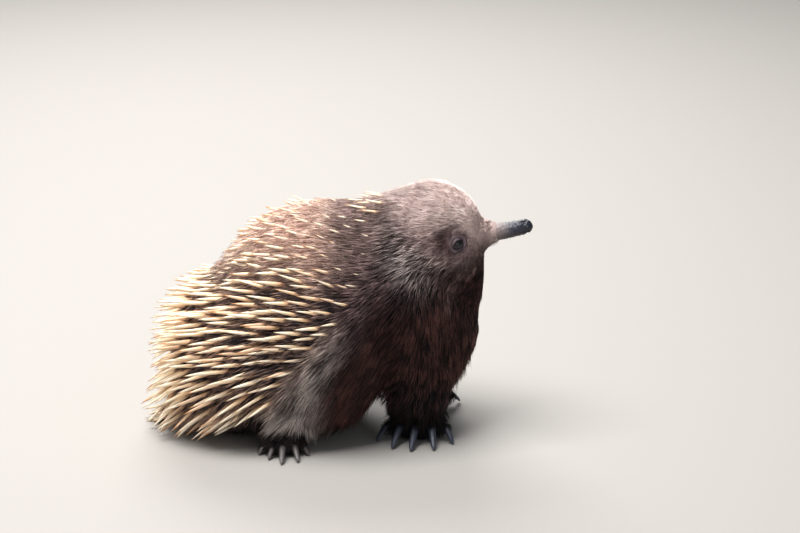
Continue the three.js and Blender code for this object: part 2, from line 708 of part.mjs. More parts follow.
function makeTrunk() {
  growCoat(trunk, [coreField, ...limbFields], trunkNodeAt, lockSpacing, 1);
  const legsGrown = legs.map((leg) => legSolid(leg, clearance).add(footGrown(leg))).reduce((a, b) => a.add(b));
  const taken = legsGrown.add(tailSolid(2 * clearance)).subtract(trunkGrown);
  const rump = behind(withCoat(trunk, "rump"), cuts.rump, gap / 2);
  const torso = behind(withCoat(ahead(trunk, cuts.rump, gap / 2), "torso"), cuts.neck, gap / 2);
  const neck = behind(withCoat(ahead(trunk, cuts.neck, gap / 2), "neck"), cuts.head, gap / 2);
  addNode("rump", rump.subtract(taken), materials.spinyCoat);
  addNode("torso", torso.subtract(behind(trunkGrown, cuts.rump, -gap / 2)).subtract(taken), materials.spinyCoat);
  addNode("neck", neck.subtract(behind(trunkGrown, cuts.neck, -gap / 2)).subtract(taken), materials.fur);
}

function tailSolid(extra) {
  return fieldSolid((p) => tailField(p) - extra, vec(-170, -35, -15), vec(-80, 35, 65), limbCell);
}

function makeTail() {
  addNode("tail", tailSolid(0).trimByPlane([0, 0, 1], 0).subtract(trunkGrown), materials.fur);
}

makeHead();
makeBeak();
makeTail();
legs.forEach(makeFoot);
makeLegs();
makeTrunk();

// The origin goes to the middle of the model's footprint, at floor height.
const box = new THREE.Box3().setFromObject(echidna);
const middle = box.getCenter(vec(0, 0, 0));
echidna.position.set(-middle.x, -middle.y, 0);

export default echidna;
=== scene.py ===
# A short-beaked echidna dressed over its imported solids: skin, beak, eyes, claws, spines and a coat of hair.
# Lengths are millimetres in the animal's own frame, with the soles at z = 0 and the beak towards +x,
# until a mesh is made, which turns them to metres in the frame of the solids.
import math

import bpy
import numpy as np
from mathutils import Matrix, Vector, kdtree


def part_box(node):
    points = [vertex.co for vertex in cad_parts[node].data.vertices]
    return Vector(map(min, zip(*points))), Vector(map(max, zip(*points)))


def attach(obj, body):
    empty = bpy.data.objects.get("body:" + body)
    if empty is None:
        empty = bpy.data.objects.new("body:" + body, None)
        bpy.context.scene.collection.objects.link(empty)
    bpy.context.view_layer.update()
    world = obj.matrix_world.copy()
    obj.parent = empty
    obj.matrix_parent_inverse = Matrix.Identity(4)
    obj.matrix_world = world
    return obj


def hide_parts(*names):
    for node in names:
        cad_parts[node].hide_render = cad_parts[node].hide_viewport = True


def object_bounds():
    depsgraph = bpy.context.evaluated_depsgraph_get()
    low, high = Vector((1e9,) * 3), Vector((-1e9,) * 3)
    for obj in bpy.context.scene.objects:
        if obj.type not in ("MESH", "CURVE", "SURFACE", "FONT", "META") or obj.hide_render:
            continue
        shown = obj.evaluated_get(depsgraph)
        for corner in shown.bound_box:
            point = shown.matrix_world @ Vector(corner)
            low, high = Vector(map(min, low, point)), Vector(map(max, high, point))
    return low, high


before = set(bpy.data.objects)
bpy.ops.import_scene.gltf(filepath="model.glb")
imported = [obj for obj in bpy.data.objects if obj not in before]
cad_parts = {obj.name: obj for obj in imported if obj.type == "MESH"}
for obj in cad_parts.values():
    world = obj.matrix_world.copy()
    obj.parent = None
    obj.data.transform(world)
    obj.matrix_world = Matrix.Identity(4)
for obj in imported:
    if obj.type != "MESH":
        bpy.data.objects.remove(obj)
cadLow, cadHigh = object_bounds()

eyePlace = np.array([90.5, 23.6, 155.5])  # left eye, the right one is its mirror image
mirror = np.array([1, -1, 1])
eyeBox = [np.array(corner) * 1000 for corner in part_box("eye_right")]
shift = (eyeBox[0] + eyeBox[1]) / 2 - eyePlace * mirror  # from the animal's own frame to that of the solids
boxGap = 0.3  # the coat stays this far inside the box of the solids
boxLow = np.array(cadLow) * 1000 - shift + boxGap
boxHigh = np.array(cadHigh) * 1000 - shift - boxGap


def inScene(name, data):
    thing = bpy.data.objects.new(name, data)
    bpy.context.scene.collection.objects.link(thing)
    return thing


# Camera, at the photograph's angle and framing

cameraView = {
    "azimuth": 3,  # degrees round from the animal's right side towards its front
    "elevation": 18,
    "distance": 2200,
    "millimetresPerPixel": 0.78,
    "imageSize": (800, 533),
    "originPixel": (340, 422.9),  # where the animal's origin lies in the photograph
    "sensor": 36,
    "reach": 30,  # metres
}


def makeCamera(view):
    azimuth, elevation = math.radians(view["azimuth"]), math.radians(view["elevation"])
    right = Vector((math.cos(azimuth), math.sin(azimuth), 0))
    back = Vector((math.sin(azimuth), -math.cos(azimuth), 0)) * math.cos(elevation)
    back.z = math.sin(elevation)
    up = back.cross(right)
    width, height = view["imageSize"]
    column, row = view["originPixel"]
    scale = view["millimetresPerPixel"]
    target = right * (width / 2 - column) * scale + up * (row - height / 2) * scale
    data = bpy.data.cameras.new("camera")
    data.sensor_width = view["sensor"]
    data.lens = view["sensor"] * view["distance"] / (width * scale)
    data.clip_end = view["reach"]
    camera = inScene("camera", data)
    camera.matrix_world = Matrix((right, up, back)).transposed().to_4x4()
    camera.location = (target + back * view["distance"] + Vector(shift)) / 1000
    bpy.context.scene.camera = camera


makeCamera(cameraView)
print("camera placed")


# Shapes of the body as fields: negative inside, and close to a distance near the surface

body = {
    "masses": {  # centre and half-sizes at the tips of the coat
        "tail": ((-104, 0, 35), (36, 56, 31)),
        "rump": ((-70, 0, 69), (68, 84, 68)),
        "belly": ((-43, 0, 57), (88, 80, 46)),
        "back": ((-16, 0, 101), (79, 86, 80)),
        "shoulders": ((40, 0, 125), (50, 58, 62)),
        "chest": ((69, 0, 93), (41, 46, 57)),
        "throat": ((89, 0, 131), (19, 19, 24)),
        "head": ((73, 0, 161), (36, 29.5, 38)),
    },
    "massBlend": 20,
    "muzzle": ((92, 0, 156), (114, 0, 156.4), 17, 8.6),  # two ends, and the radius at each
    "muzzleBlend": 9,
    "tailStump": ((-104, 0, 24), (-127, 0, 7.4), 15, 8),
    "tailBlend": 12,
    "headCut": ((38, 0, 183), (0.725, 0, 0.689)),  # a plane behind the head, and the way to the head
    "flankDepth": 7,  # from the coat's tips down to the skin
    "rearDepth": 17,
    "crownDepth": 4.6,
    "faceDepth": 1.6,
    "lidDepth": 1.0,
    "beakSleeve": ((104, 0, 155.5), (116.5, 0, 157.5), 8.8, 7.75),  # furred skin round the beak's root
    "sleeveBlend": 5,
    "eyeSocket": (6.4, 3),  # radius, and how far its middle lies out from the eye's
    "tailDepth": 2,  # from the solids down to the skin
    "legDepth": 2.2,
    "pawDepth": 1,
    "legBlend": 14,
    "kneeBlend": 10,
    "pawBlend": 7,
    "skinInset": 0.6,  # the skin lies this much inside the core of the solids
    "cell": 2.0,  # grid step of the skin
    "margin": 24,  # of the grid round the body
}
legs = {  # middle line, middle of the paw, and the way that the toes point, in degrees
    "foreleg_right": {
        "kind": "fore",
        "line": ((54, -25, 84), (62, -27, 48), (62, -21, 22)),
        "paw": (62, -20, 9.5),
        "heading": -90,
    },
    "foreleg_left": {
        "kind": "fore",
        "line": ((56, 29, 84), (64, 34, 48), (63, 31, 22)),
        "paw": (62, 31, 9.5),
        "heading": 84,
    },
    "hindleg_right": {
        "kind": "hind",
        "line": ((-42, -34, 50), (-40, -44, 33), (-38, -54, 18)),
        "paw": (-38, -58, 8),
        "heading": -88,
    },
    "hindleg_left": {
        "kind": "hind",
        "line": ((-50, 34, 50), (-50, 46, 33), (-50, 58, 18)),
        "paw": (-50, 62, 8),
        "heading": 98,
    },
}
legKinds = {  # the claws run from one side of the foot to the other, seen along its heading
    "fore": {
        "radii": (27, 22, 17),  # of the leg at the ends and the bend of its line
        "pawHalf": (22, 17, 14),
        "across": (-21, -11.5, -0.5, 10.5, 20),
        "forward": (8, 13.5, 15, 14, 9),
        "turn": (-38, -18, -8, 8, 30),
        "length": (20, 26, 28, 26, 19),
        "rise": 14,
        "clawRadius": 3.4,
        "brownness": 0.05,
    },
    "hind": {
        "radii": (27, 20, 13),
        "pawHalf": (16, 16, 12),
        "across": (-13, -7, -0.5, 7.5, 13),
        "forward": (6, 10, 12, 11, 6.5),
        "turn": (-40, -16, 0, 14, 40),
        "length": (12, 16, 23, 20, 12),
        "rise": 10,
        "clawRadius": 2.9,
        "brownness": 0.85,
    },
}
clawTipHeight = 0.9


def smooth(low, high, x):
    t = np.clip((x - low) / (high - low), 0, 1)
    return t * t * (3 - 2 * t)


def mix(a, b, share):
    return a + (b - a) * share


def unit(v):
    return v / np.maximum(np.linalg.norm(v, axis=-1, keepdims=True), 1e-9)


def dot(a, b):
    return (a * b).sum(-1)


def softMin(a, b, width):
    h = np.maximum(width - np.abs(a - b), 0) / width
    return np.minimum(a, b) - h * h * width / 4


def ellipsoid(p, centre, half):
    q = (p - np.array(centre)) / np.array(half)
    k0 = np.linalg.norm(q, axis=-1)
    k1 = np.linalg.norm(q / np.array(half), axis=-1)
    return k0 * (k0 - 1) / np.maximum(k1, 1e-6)


def capsule(p, a, b, radiusA, radiusB):
    a, b = np.array(a, float), np.array(b, float)
    t = np.clip((p - a) @ (b - a) / ((b - a) @ (b - a)), 0, 1)
    return np.linalg.norm(p - a - t[..., None] * (b - a), axis=-1) - mix(radiusA, radiusB, t)


def furField(p):
    trunk = None
    for centre, half in body["masses"].values():
        part = ellipsoid(p, centre, half)
        trunk = part if trunk is None else softMin(trunk, part, body["massBlend"])
    return softMin(trunk, capsule(p, *body["muzzle"]), body["muzzleBlend"])


def aheadOfCut(p):
    point, way = body["headCut"]
    return (p - np.array(point)) @ np.array(way)


def eyeDistance(p):
    return np.minimum(*[np.linalg.norm(p - eyePlace * side, axis=-1) for side in (1, mirror)])


def coatDepth(p):
    trunk = mix(body["rearDepth"], body["flankDepth"], smooth(-75, 25, p[..., 0])) + body["skinInset"]
    head = mix(body["crownDepth"], body["faceDepth"], smooth(84, 106, p[..., 0]))
    head = mix(body["lidDepth"], head, smooth(6, 15, eyeDistance(p)))
    return mix(trunk, head, smooth(-22, 4, aheadOfCut(p)))


def clawPlaces(leg):
    kind = legKinds[leg["kind"]]
    side = math.copysign(1, leg["heading"])

    def way(turn):
        angle = math.radians(leg["heading"] + turn)
        return np.array([math.cos(angle), math.sin(angle), 0])

    places = []
    for i, length in enumerate(kind["length"]):
        strong = length / max(kind["length"])
        root = np.array([*leg["paw"][:2], 0]) + way(0) * kind["forward"][i]
        root -= way(90) * side * kind["across"][i]
        root[2] = kind["rise"] * (0.6 + 0.4 * strong)
        toe = way(-side * kind["turn"][i])
        tip = root + toe * math.sqrt(length**2 - (root[2] - clawTipHeight) ** 2)
        tip[2] = clawTipHeight
        radius = kind["clawRadius"] * (0.65 + 0.35 * strong)
        places.append({"root": root, "tip": tip, "toe": toe, "radius": radius})
    return places


def legField(p, leg):
    top, middle, ankle = leg["line"]
    hip, knee, heel = legKinds[leg["kind"]]["radii"]
    thigh, shin = capsule(p, top, middle, hip, knee), capsule(p, middle, ankle, knee, heel)
    return softMin(thigh, shin, body["kneeBlend"])


def pawField(p, leg):
    value = ellipsoid(p, leg["paw"], legKinds[leg["kind"]]["pawHalf"])
    for claw in clawPlaces(leg):  # a toe from the paw to each claw's root
        knuckle = claw["root"] + claw["toe"] * 3 - np.array([0, 0, 2.5])
        heel = mix(claw["root"], np.array(leg["paw"]), 0.6)
        value = softMin(value, capsule(p, heel, knuckle, 8, claw["radius"] + 1.6), 4)
    return value


def legDistance(p, field=legField):
    return np.min([field(p, leg) for leg in legs.values()], axis=0)


def skinField(p):
    value = furField(p) + coatDepth(p)
    value = softMin(value, capsule(p, *body["beakSleeve"]), body["sleeveBlend"])
    value = softMin(value, capsule(p, *body["tailStump"]) + body["tailDepth"], body["tailBlend"])
    for leg in legs.values():
        value = softMin(value, legField(p, leg) + body["legDepth"], body["legBlend"])
        value = softMin(value, pawField(p, leg) + body["pawDepth"], body["pawBlend"])
    radius, outward = body["eyeSocket"]
    for side in (1, mirror):
        socket = np.linalg.norm(p - eyePlace * side - eyeOut * side * outward, axis=-1) - radius
        value = np.maximum(value, -socket)
    return np.maximum(value, 0.1 - p[..., 2])  # cut off just above the floor


def slope(field, p, h=0.4):
    return np.stack([(field(p + step) - field(p - step)) / (2 * h) for step in np.eye(3) * h], -1)


eyeOut = unit(slope(furField, eyePlace[None]))[0]


class Grid:
    def __init__(self, field, cell, margin):
        self.low, self.cell = boxLow - margin, cell
        counts = np.ceil((boxHigh - boxLow + 2 * margin) / cell).astype(int) + 1
        xs, ys, zs = (low + cell * np.arange(count) for low, count in zip(self.low, counts))
        layers = [np.stack(np.meshgrid([x], ys, zs, indexing="ij"), -1)[0] for x in xs]
        self.values = np.stack([field(layer) for layer in layers])
        self.slopes = np.stack(np.gradient(self.values, cell), -1)

    def look(self, array, p):
        # mixed from the eight corners of the cell round each place
        q = np.clip((p - self.low) / self.cell, 0, np.array(self.values.shape) - 1.001)
        i = q.astype(int)
        t = q - i
        total = 0
        for corner in np.ndindex(2, 2, 2):
            weight = np.prod(np.where(np.array(corner), t, 1 - t), axis=-1)
            part = array[tuple((i + np.array(corner)).T)]
            total = total + part * (weight if part.ndim == 1 else weight[:, None])
        return total

    def height(self, p):
        return self.look(self.values, p)

    def outward(self, p):
        return unit(self.look(self.slopes, p))


def surfaceNet(grid):
    # one vertex in each cell that the surface crosses, and one quad round each grid edge that it crosses
    values = grid.values
    counts = np.array(values.shape)
    crossings = np.zeros((*(counts - 1), 3))
    hits = np.zeros(counts - 1)
    crossed = []
    for axis in range(3):
        lower = np.take(values, range(counts[axis] - 1), axis)
        upper = np.take(values, range(1, counts[axis]), axis)
        cut = (lower < 0) != (upper < 0)
        crossed.append((cut, lower < 0))
        place = np.stack(np.indices(lower.shape), -1).astype(float)
        place[..., axis] += np.where(cut, lower / np.where(cut, lower - upper, 1), 0)
        others = [a for a in range(3) if a != axis]
        for steps in np.ndindex(2, 2):
            window = [slice(None)] * 3
            for other, step in zip(others, steps):
                window[other] = slice(step, counts[other] - 1 + step)
            window = tuple(window)
            crossings += place[window] * cut[window][..., None]
            hits += cut[window]
    used = hits > 0
    numbers = np.full(used.shape, -1)
    numbers[used] = np.arange(used.sum())
    points = grid.low + grid.cell * crossings[used] / hits[used][:, None]
    quads = []
    for axis, (cut, inside) in enumerate(crossed):
        others = [(axis + 1) % 3, (axis + 2) % 3]
        where = np.argwhere(cut)
        ring = []
        for du, dv in ((-1, -1), (0, -1), (0, 0), (-1, 0)):
            cellAt = where.copy()
            cellAt[:, others[0]] += du
            cellAt[:, others[1]] += dv
            ring.append(numbers[tuple(cellAt.T)])
        ring = np.stack(ring, -1)
        turned = ~inside[tuple(where.T)]
        ring[turned] = ring[turned][:, ::-1]
        quads.append(ring)
    return points, np.concatenate(quads)


def ontoSurface(p, field, rounds=3):
    for _ in range(rounds):
        g = slope(field, p)
        p = p - g * (field(p) / np.maximum(dot(g, g), 0.2))[:, None]
    return p


# Meshes from arrays

def meshOfPoints(name, points):
    data = bpy.data.meshes.new(name)
    data.vertices.add(len(points))
    data.vertices.foreach_set("co", ((points + shift) / 1000).astype(np.float32).ravel())
    return data


def storeValues(data, attributes):
    # one number or vector for each point, under its name
    for key, values in attributes.items():
        kind, field = ("FLOAT_VECTOR", "vector") if values.ndim == 2 else ("FLOAT", "value")
        layer = data.attributes.new(key, kind, "POINT")
        layer.data.foreach_set(field, values.astype(np.float32).ravel())


def setBakeMap(data, places):
    layer = data.uv_layers.get("OFBake") or data.uv_layers.new(name="OFBake")
    layer.data.foreach_set("uv", places.astype(np.float32).ravel())


def makeMesh(name, points, faces, material, attributes=None, bakeMap=None):
    data = meshOfPoints(name, points)
    data.loops.add(faces.size)
    data.loops.foreach_set("vertex_index", faces.astype(np.int32).ravel())
    data.polygons.add(len(faces))
    data.polygons.foreach_set("loop_start", np.arange(0, faces.size, faces.shape[1], dtype=np.int32))
    data.polygons.foreach_set("use_smooth", np.ones(len(faces), bool))
    data.update(calc_edges=True)
    storeValues(data, attributes or {})
    if bakeMap is not None:
        setBakeMap(data, bakeMap[faces.ravel()])
    data.materials.append(material)
    return inScene(name, data)


def finishPiece(piece, slotName, *nodes):
    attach(piece, "root")
    if nodes:
        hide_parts(*nodes)


def tubeFaces(rings, sides, closedLine=False):
    # triangles of a tube of rings; an open line ends in a point at each end, stored after the rings
    faces = []
    for r in range(rings if closedLine else rings - 1):
        onward = ((r + 1) % rings) * sides
        for s in range(sides):
            a, b = r * sides + s, r * sides + (s + 1) % sides
            c, d = onward + (s + 1) % sides, onward + s
            faces += [(a, b, c), (a, c, d)]
    if not closedLine:
        start, end = rings * sides, rings * sides + 1
        for s in range(sides):
            onward = (s + 1) % sides
            faces.append((start, onward, s))
            faces.append((end, (rings - 1) * sides + s, (rings - 1) * sides + onward))
    return np.array(faces)


def framing(direction):
    # the way itself, and two across it: a level one, and one in its upright plane
    out = unit(np.array(direction, float))
    across = unit(np.cross([0, 0, 1], out))
    return out, across, np.cross(out, across)


def circle(turn, first, second):
    # places on a circle of radius 1, from its first direction towards its second
    return np.cos(turn)[:, None] * first + np.sin(turn)[:, None] * second


# Shader and geometry trees from Python expressions

class Value:
    # a number's socket, whose arithmetic adds Math nodes
    def __init__(self, tree, socket):
        self.tree, self.socket = tree, socket

    def using(self, operation, *others):
        sockets = {i: other for i, other in enumerate((self, *others))}
        return self.tree.add("ShaderNodeMath", {"operation": operation}, sockets)

    def reflected(self, operation, other):
        return self.tree.add("ShaderNodeMath", {"operation": operation}, {0: other, 1: self})

    def __add__(self, other):
        return self.using("ADD", other)

    def __radd__(self, other):
        return self.reflected("ADD", other)

    def __sub__(self, other):
        return self.using("SUBTRACT", other)

    def __rsub__(self, other):
        return self.reflected("SUBTRACT", other)

    def __mul__(self, other):
        return self.using("MULTIPLY", other)

    def __rmul__(self, other):
        return self.reflected("MULTIPLY", other)

    def __truediv__(self, other):
        return self.using("DIVIDE", other)

    def __pow__(self, other):
        return self.using("POWER", other)


class Tree:
    def __init__(self, tree):
        self.tree = tree

    def add(self, kind, settings=None, values=None, out=0):
        node = self.tree.nodes.new(kind)
        for key, value in (settings or {}).items():
            if key == "stops":
                self.setStops(node.color_ramp, value)
            else:
                setattr(node, key, value)
        for key, value in (values or {}).items():
            if isinstance(value, Value):
                self.tree.links.new(value.socket, node.inputs[key])
            else:
                node.inputs[key].default_value = value
        return Value(self, node.outputs[out]) if len(node.outputs) else node

    def setStops(self, ramp, stops):
        while len(ramp.elements) < len(stops):
            ramp.elements.new(0.5)
        for element, (position, colour) in zip(ramp.elements, stops):
            element.position = position
            element.color = colour

    def smooth(self, low, high, x):
        settings = {"interpolation_type": "SMOOTHSTEP"}
        return self.add("ShaderNodeMapRange", settings, {0: x, 1: low, 2: high, 3: 0.0, 4: 1.0})

    def blend(self, factor, a, b, way="MIX"):
        settings = {"data_type": "RGBA", "blend_type": way, "clamp_factor": True}
        return self.add("ShaderNodeMix", settings, {0: factor, 6: a, 7: b}, 2)

    def noise(self, place, scale, detail=2.0, distortion=0.0):
        values = {"Vector": place, "Scale": scale, "Detail": detail, "Distortion": distortion}
        return self.add("ShaderNodeTexNoise", None, values)

    def stretched(self, place, factors):
        return self.add("ShaderNodeVectorMath", {"operation": "MULTIPLY"}, {0: place, 1: factors})

    def stored(self, name):
        # what the mesh holds at its points: the place is a vector, and the rest are numbers
        return self.add("ShaderNodeAttribute", {"attribute_name": name}, None, 1 if name == "place" else 2)

    def ramp(self, x, stops):
        stops = [(position, tone(*colour)) for position, *colour in stops]
        return self.add("ShaderNodeValToRGB", {"stops": stops}, {0: x})

    def bump(self, height, strength, distance):
        values = {"Height": height, "Strength": strength, "Distance": distance}
        return self.add("ShaderNodeBump", None, values)


def tone(*colour):
    # a colour as seen on a screen, from 0 to 255, as the shader's linear one
    linear = [c / 255 / 12.92 if c < 10 else ((c / 255 + 0.055) / 1.055) ** 2.4 for c in colour]
    return (*linear, 1)


def newMaterial(name, constants):
    material = bpy.data.materials.new(name)
    material.use_nodes = True
    shader = material.node_tree.nodes["Principled BSDF"]
    for key, value in constants.items():
        shader.inputs[key].default_value = value
    return material, Tree(material.node_tree), shader


def feed(tree, shader, **links):
    for key, value in links.items():
        tree.tree.links.new(value.socket, shader.inputs[key.replace("_", " ")])


# Markings that skin and coat share, read at the place of each hair's root

coatTones = {  # colour on a screen near the skin, and at the tips; the darker tone near the skin is partly painted shade deep in the coat, and the tips are paler hair
    # back: pale fur on the top, partly painted light from above
    "back": ((206, 166, 150), (255, 232, 216)),
    # rump: the blue-grey near the skin is painted shadow between the spines
    "rump": ((36, 33, 42), (222, 184, 166)),
    "flank": ((24, 20, 25), (246, 232, 226)),
    "neck": ((34, 24, 26), (140, 112, 112)),
    "cheek": ((172, 145, 142), (246, 222, 216)),
    # crown: pale fur, partly painted light on the top of the head
    "crown": ((222, 200, 194), (250, 240, 234)),
    "muzzle": ((164, 143, 138), (226, 206, 200)),
    "eyePatch": ((78, 58, 58), (164, 134, 130)),
    # chest: darker fur, partly painted shade under the jaw and the overhanging shoulder hair
    "chest": ((6, 3, 4), (116, 78, 72)),
    "throat": ((70, 50, 48), (178, 150, 142)),
    # foreleg: dark fur, darkened further as painted shade under the overhanging flank
    "foreleg": ((5, 4, 5), (40, 29, 28)),
    "hindleg": ((8, 6, 8), (86, 72, 72)),
    # belly: painted shade under the body
    "belly": ((10, 7, 8), (52, 40, 38)),
}
coatLines = {  # slanting heights on the body: rise for each millimetre along x, and height at x = 0
    "spines": (1.3, 92),  # they grow above it
    "jaw": (0.31, 112),  # the dark front lies below this line and the next: darker chest fur with painted shade under the jaw and in the crease below the shoulder hair
    "shoulder": (1.4, 69),
    "throat": (0.6, 74),  # a pale strip follows it
}
backRidge = {"heights": (96, 150), "sideDrop": 0.3}  # where the back turns from flank to top; the top keeps the pale back tone, partly painted light from above
eyePatch = {"middle": (86, 157), "half": (13, 12), "fade": (0.2, 1.5)}


def lineAt(name, x):
    rise, start = coatLines[name]
    return x * rise + start


def coatMarkings(tree):
    # the tones of roots and of tips, from the place on the body
    place = tree.stored("place")
    x, y, z = (tree.add("ShaderNodeSeparateXYZ", None, {0: place}, i) for i in range(3))
    side = y.using("ABSOLUTE")
    warp = tree.noise(place, 0.045, 3.0) - 0.5  # so that no edge between tones is straight
    x = x + warp * 16
    z = z + warp * 12
    cutPlace, cutWay = body["headCut"]
    onHead = tree.smooth(-14, 12, x * cutWay[0] + z * cutWay[2] - float(np.dot(cutPlace, cutWay)))
    spiny = tree.smooth(-8, 14, z - lineAt("spines", x)) * (1 - tree.smooth(30, 50, x))
    high = tree.smooth(*backRidge["heights"], z - side * backRidge["sideDrop"])
    ragged = (tree.noise(place, 0.4, 2.0) - 0.5) * 26
    # darker below the jaw and shoulder lines: partly painted shade
    darkBelow = lineAt("jaw", x).using("MINIMUM", lineAt("shoulder", x))
    front = tree.smooth(-12, 12, darkBelow - z + ragged) * tree.smooth(-10, 14, x)
    bandX = x + (z - 165) * 0.3 + ragged * 0.5
    band = tree.smooth(-16, 26, bandX) * (1 - tree.smooth(34, 58, bandX))
    band = band * (1 - tree.smooth(170, 190, z) * 0.8)
    # paler towards the top of the head: partly painted light
    crown = tree.smooth(150, 182, z + (x - 70) * 0.3 - side * 0.2)
    eyeX = (x - eyePatch["middle"][0]) / eyePatch["half"][0]
    eyeZ = (z - eyePatch["middle"][1]) / eyePatch["half"][1]
    eyeNear = 1 - tree.smooth(*eyePatch["fade"], eyeX * eyeX + eyeZ * eyeZ)
    stripAway = (z - lineAt("throat", x)).using("ABSOLUTE")
    strip = (1 - tree.smooth(1.5, 7, stripAway)) * tree.smooth(74, 88, x) * 0.8
    behind = 1 - tree.smooth(-24, -4, x)
    masks = [  # each tone is laid over those before it
        ("rump", spiny * (1 - high)),
        ("flank", 1 - spiny),
        ("neck", tree.smooth(2, 26, x + (z - 100) * 0.2) * (1 - high)),
        # painted shade low on the body and under the rump
        ("belly", (1 - tree.smooth(14, 34, z + side * 0.1)) * tree.smooth(-30, 0, x)),
        ("belly", (1 - tree.smooth(12, 30, z)) * (1 - tree.smooth(-80, -66, x))),
        ("hindleg", (1 - tree.smooth(24, 46, z)) * behind * tree.smooth(-84, -66, x)),
        ("cheek", onHead),
        ("neck", band * 0.85),
        ("crown", onHead * crown),
        ("eyePatch", onHead * eyeNear * tree.smooth(8, 16, side)),
        ("muzzle", tree.smooth(98, 110, x) * tree.smooth(138, 148, z)),
        ("chest", front),
        ("throat", strip * front),
        # the foreleg tone low at the front is partly painted shade
        ("foreleg", (1 - tree.smooth(24, 60, z)) * tree.smooth(26, 40, x)),
    ]
    root, tip = (tone(*colour) for colour in coatTones["back"])
    for name, mask in masks:
        root = tree.blend(mask, root, tone(*coatTones[name][0]))
        tip = tree.blend(mask, tip, tone(*coatTones[name][1]))
    return root, tip


def hairMaterial():
    material, tree, shader = newMaterial("coat_hair", {"Roughness": 0.62, "Specular IOR Level": 0.28})
    along, tint = map(tree.stored, ("along", "tint"))
    root, tip = coatMarkings(tree)
    # paler towards the tip: lighter hair tips, with painted shade deep in the coat towards the root
    pale = tree.smooth(0.3, 1.05, along * (0.3 + tint * 1.1))
    colour = tree.blend(pale, root, tip)
    lightness = 0.66 + tint * 0.6
    grey = tree.add("ShaderNodeCombineColor", None, dict.fromkeys(range(3), lightness))
    feed(tree, shader, Base_Color=tree.blend(1.0, colour, grey, "MULTIPLY"))
    return material


def skinMaterial():
    material, tree, shader = newMaterial("hide", {"Roughness": 0.75, "Specular IOR Level": 0.25})
    root, tip = coatMarkings(tree)
    grain = tree.noise(tree.stored("place"), 0.9, 4.0)
    # mostly the tone near the roots, which is partly painted shade under the coat
    colour = tree.blend(grain * 0.35, root, tip)
    feed(tree, shader, Base_Color=colour, Normal=tree.bump(grain, 0.5, 0.0006))
    return material


rampStops = {  # position from root to tip, or from the lids' rim outwards, and colour on a screen
    "spine": (
        (0, 70, 52, 48),
        (0.2, 196, 142, 104),
        (0.42, 246, 214, 172),
        (0.75, 255, 242, 218),
        (0.93, 250, 230, 198),
        (1, 206, 160, 116),
    ),
    "beak": (
        (0, 158, 140, 134),
        (0.42, 134, 120, 117),
        (0.58, 84, 79, 84),
        (0.68, 36, 40, 54),
        (1, 17, 22, 34),
    ),
    "lid": ((0, 18, 14, 17), (0.1, 44, 35, 40), (0.3, 102, 84, 90), (0.6, 92, 75, 77), (1, 72, 54, 52)),
}


def spineMaterial():
    material, tree, shader = newMaterial("spine_horn", {"Roughness": 0.42, "Specular IOR Level": 0.45})
    along, tint = map(tree.stored, ("along", "tint"))
    streak = tree.noise(tree.add("ShaderNodeTexCoord", None, None, 3), 900, 2.0)
    colour = tree.ramp(along + (tint - 0.5) * 0.24, rampStops["spine"])
    colour = tree.blend(tree.smooth(0.6, 0.98, tint) * 0.5, colour, tone(226, 160, 108))
    colour = tree.blend(tree.smooth(0.5, 0.75, streak) * 0.25, colour, tone(168, 118, 84))
    feed(tree, shader, Base_Color=colour, Normal=tree.bump(streak, 0.12, 0.0002))
    return material


def clawMaterial():
    material, tree, shader = newMaterial("claw_horn", {"Specular IOR Level": 0.5})
    along, brownness, place = map(tree.stored, ("along", "tint", "place"))
    grooves = tree.noise(tree.stretched(place, (1.0, 3.2, 0.12)), 1.1, 3.0)
    blue = tree.blend(along * 0.8, tone(22, 26, 38), tone(52, 60, 78))
    brown = tree.blend(along * 0.8, tone(48, 42, 42), tone(112, 102, 100))
    colour = tree.blend(brownness, blue, brown)
    colour = tree.blend(tree.smooth(0.45, 0.7, grooves) * 0.5, colour, tone(14, 15, 20))
    relief = tree.bump(grooves, 0.35, 0.0004)
    feed(tree, shader, Base_Color=colour, Roughness=0.3 + grooves * 0.25, Normal=relief)
    return material


def beakMaterial():
    material, tree, shader = newMaterial("beak_skin", {"Specular IOR Level": 0.5})
    along, above, place = map(tree.stored, ("along", "tint", "place"))
    wrinkles = tree.noise(tree.stretched(place, (0.8, 2.0, 2.0)), 0.9, 5.0, 0.6)
    mottle = tree.noise(place, 0.4, 4.0)
    colour = tree.ramp(along + (mottle - 0.5) * 0.24, rampStops["beak"])
    colour = tree.blend((1 - tree.smooth(0.1, 0.55, above)) * 0.75, colour, tone(44, 34, 36))
    colour = tree.blend(tree.smooth(0.5, 0.75, wrinkles) * 0.5, colour, tone(40, 34, 40))
    rough = 0.6 - along * 0.28 + (wrinkles - 0.5) * 0.2
    feed(tree, shader, Base_Color=colour, Roughness=rough, Normal=tree.bump(wrinkles, 0.45, 0.0005))
    return material


def lidMaterial():
    material, tree, shader = newMaterial("lid_skin", {"Roughness": 0.55, "Specular IOR Level": 0.35})
    along, shade, place = map(tree.stored, ("along", "tint", "place"))
    creases = tree.noise(tree.stretched(place, (1, 1, 1.6)), 0.8, 4.0, 0.8)
    colour = tree.ramp(along + (creases - 0.5) * 0.25, rampStops["lid"])
    # darker in the creases: painted shade
    colour = tree.blend(tree.smooth(0.3, 1.0, shade), colour, tone(34, 26, 30))
    feed(tree, shader, Base_Color=colour, Normal=tree.bump(creases, 0.5, 0.0005))
    return material


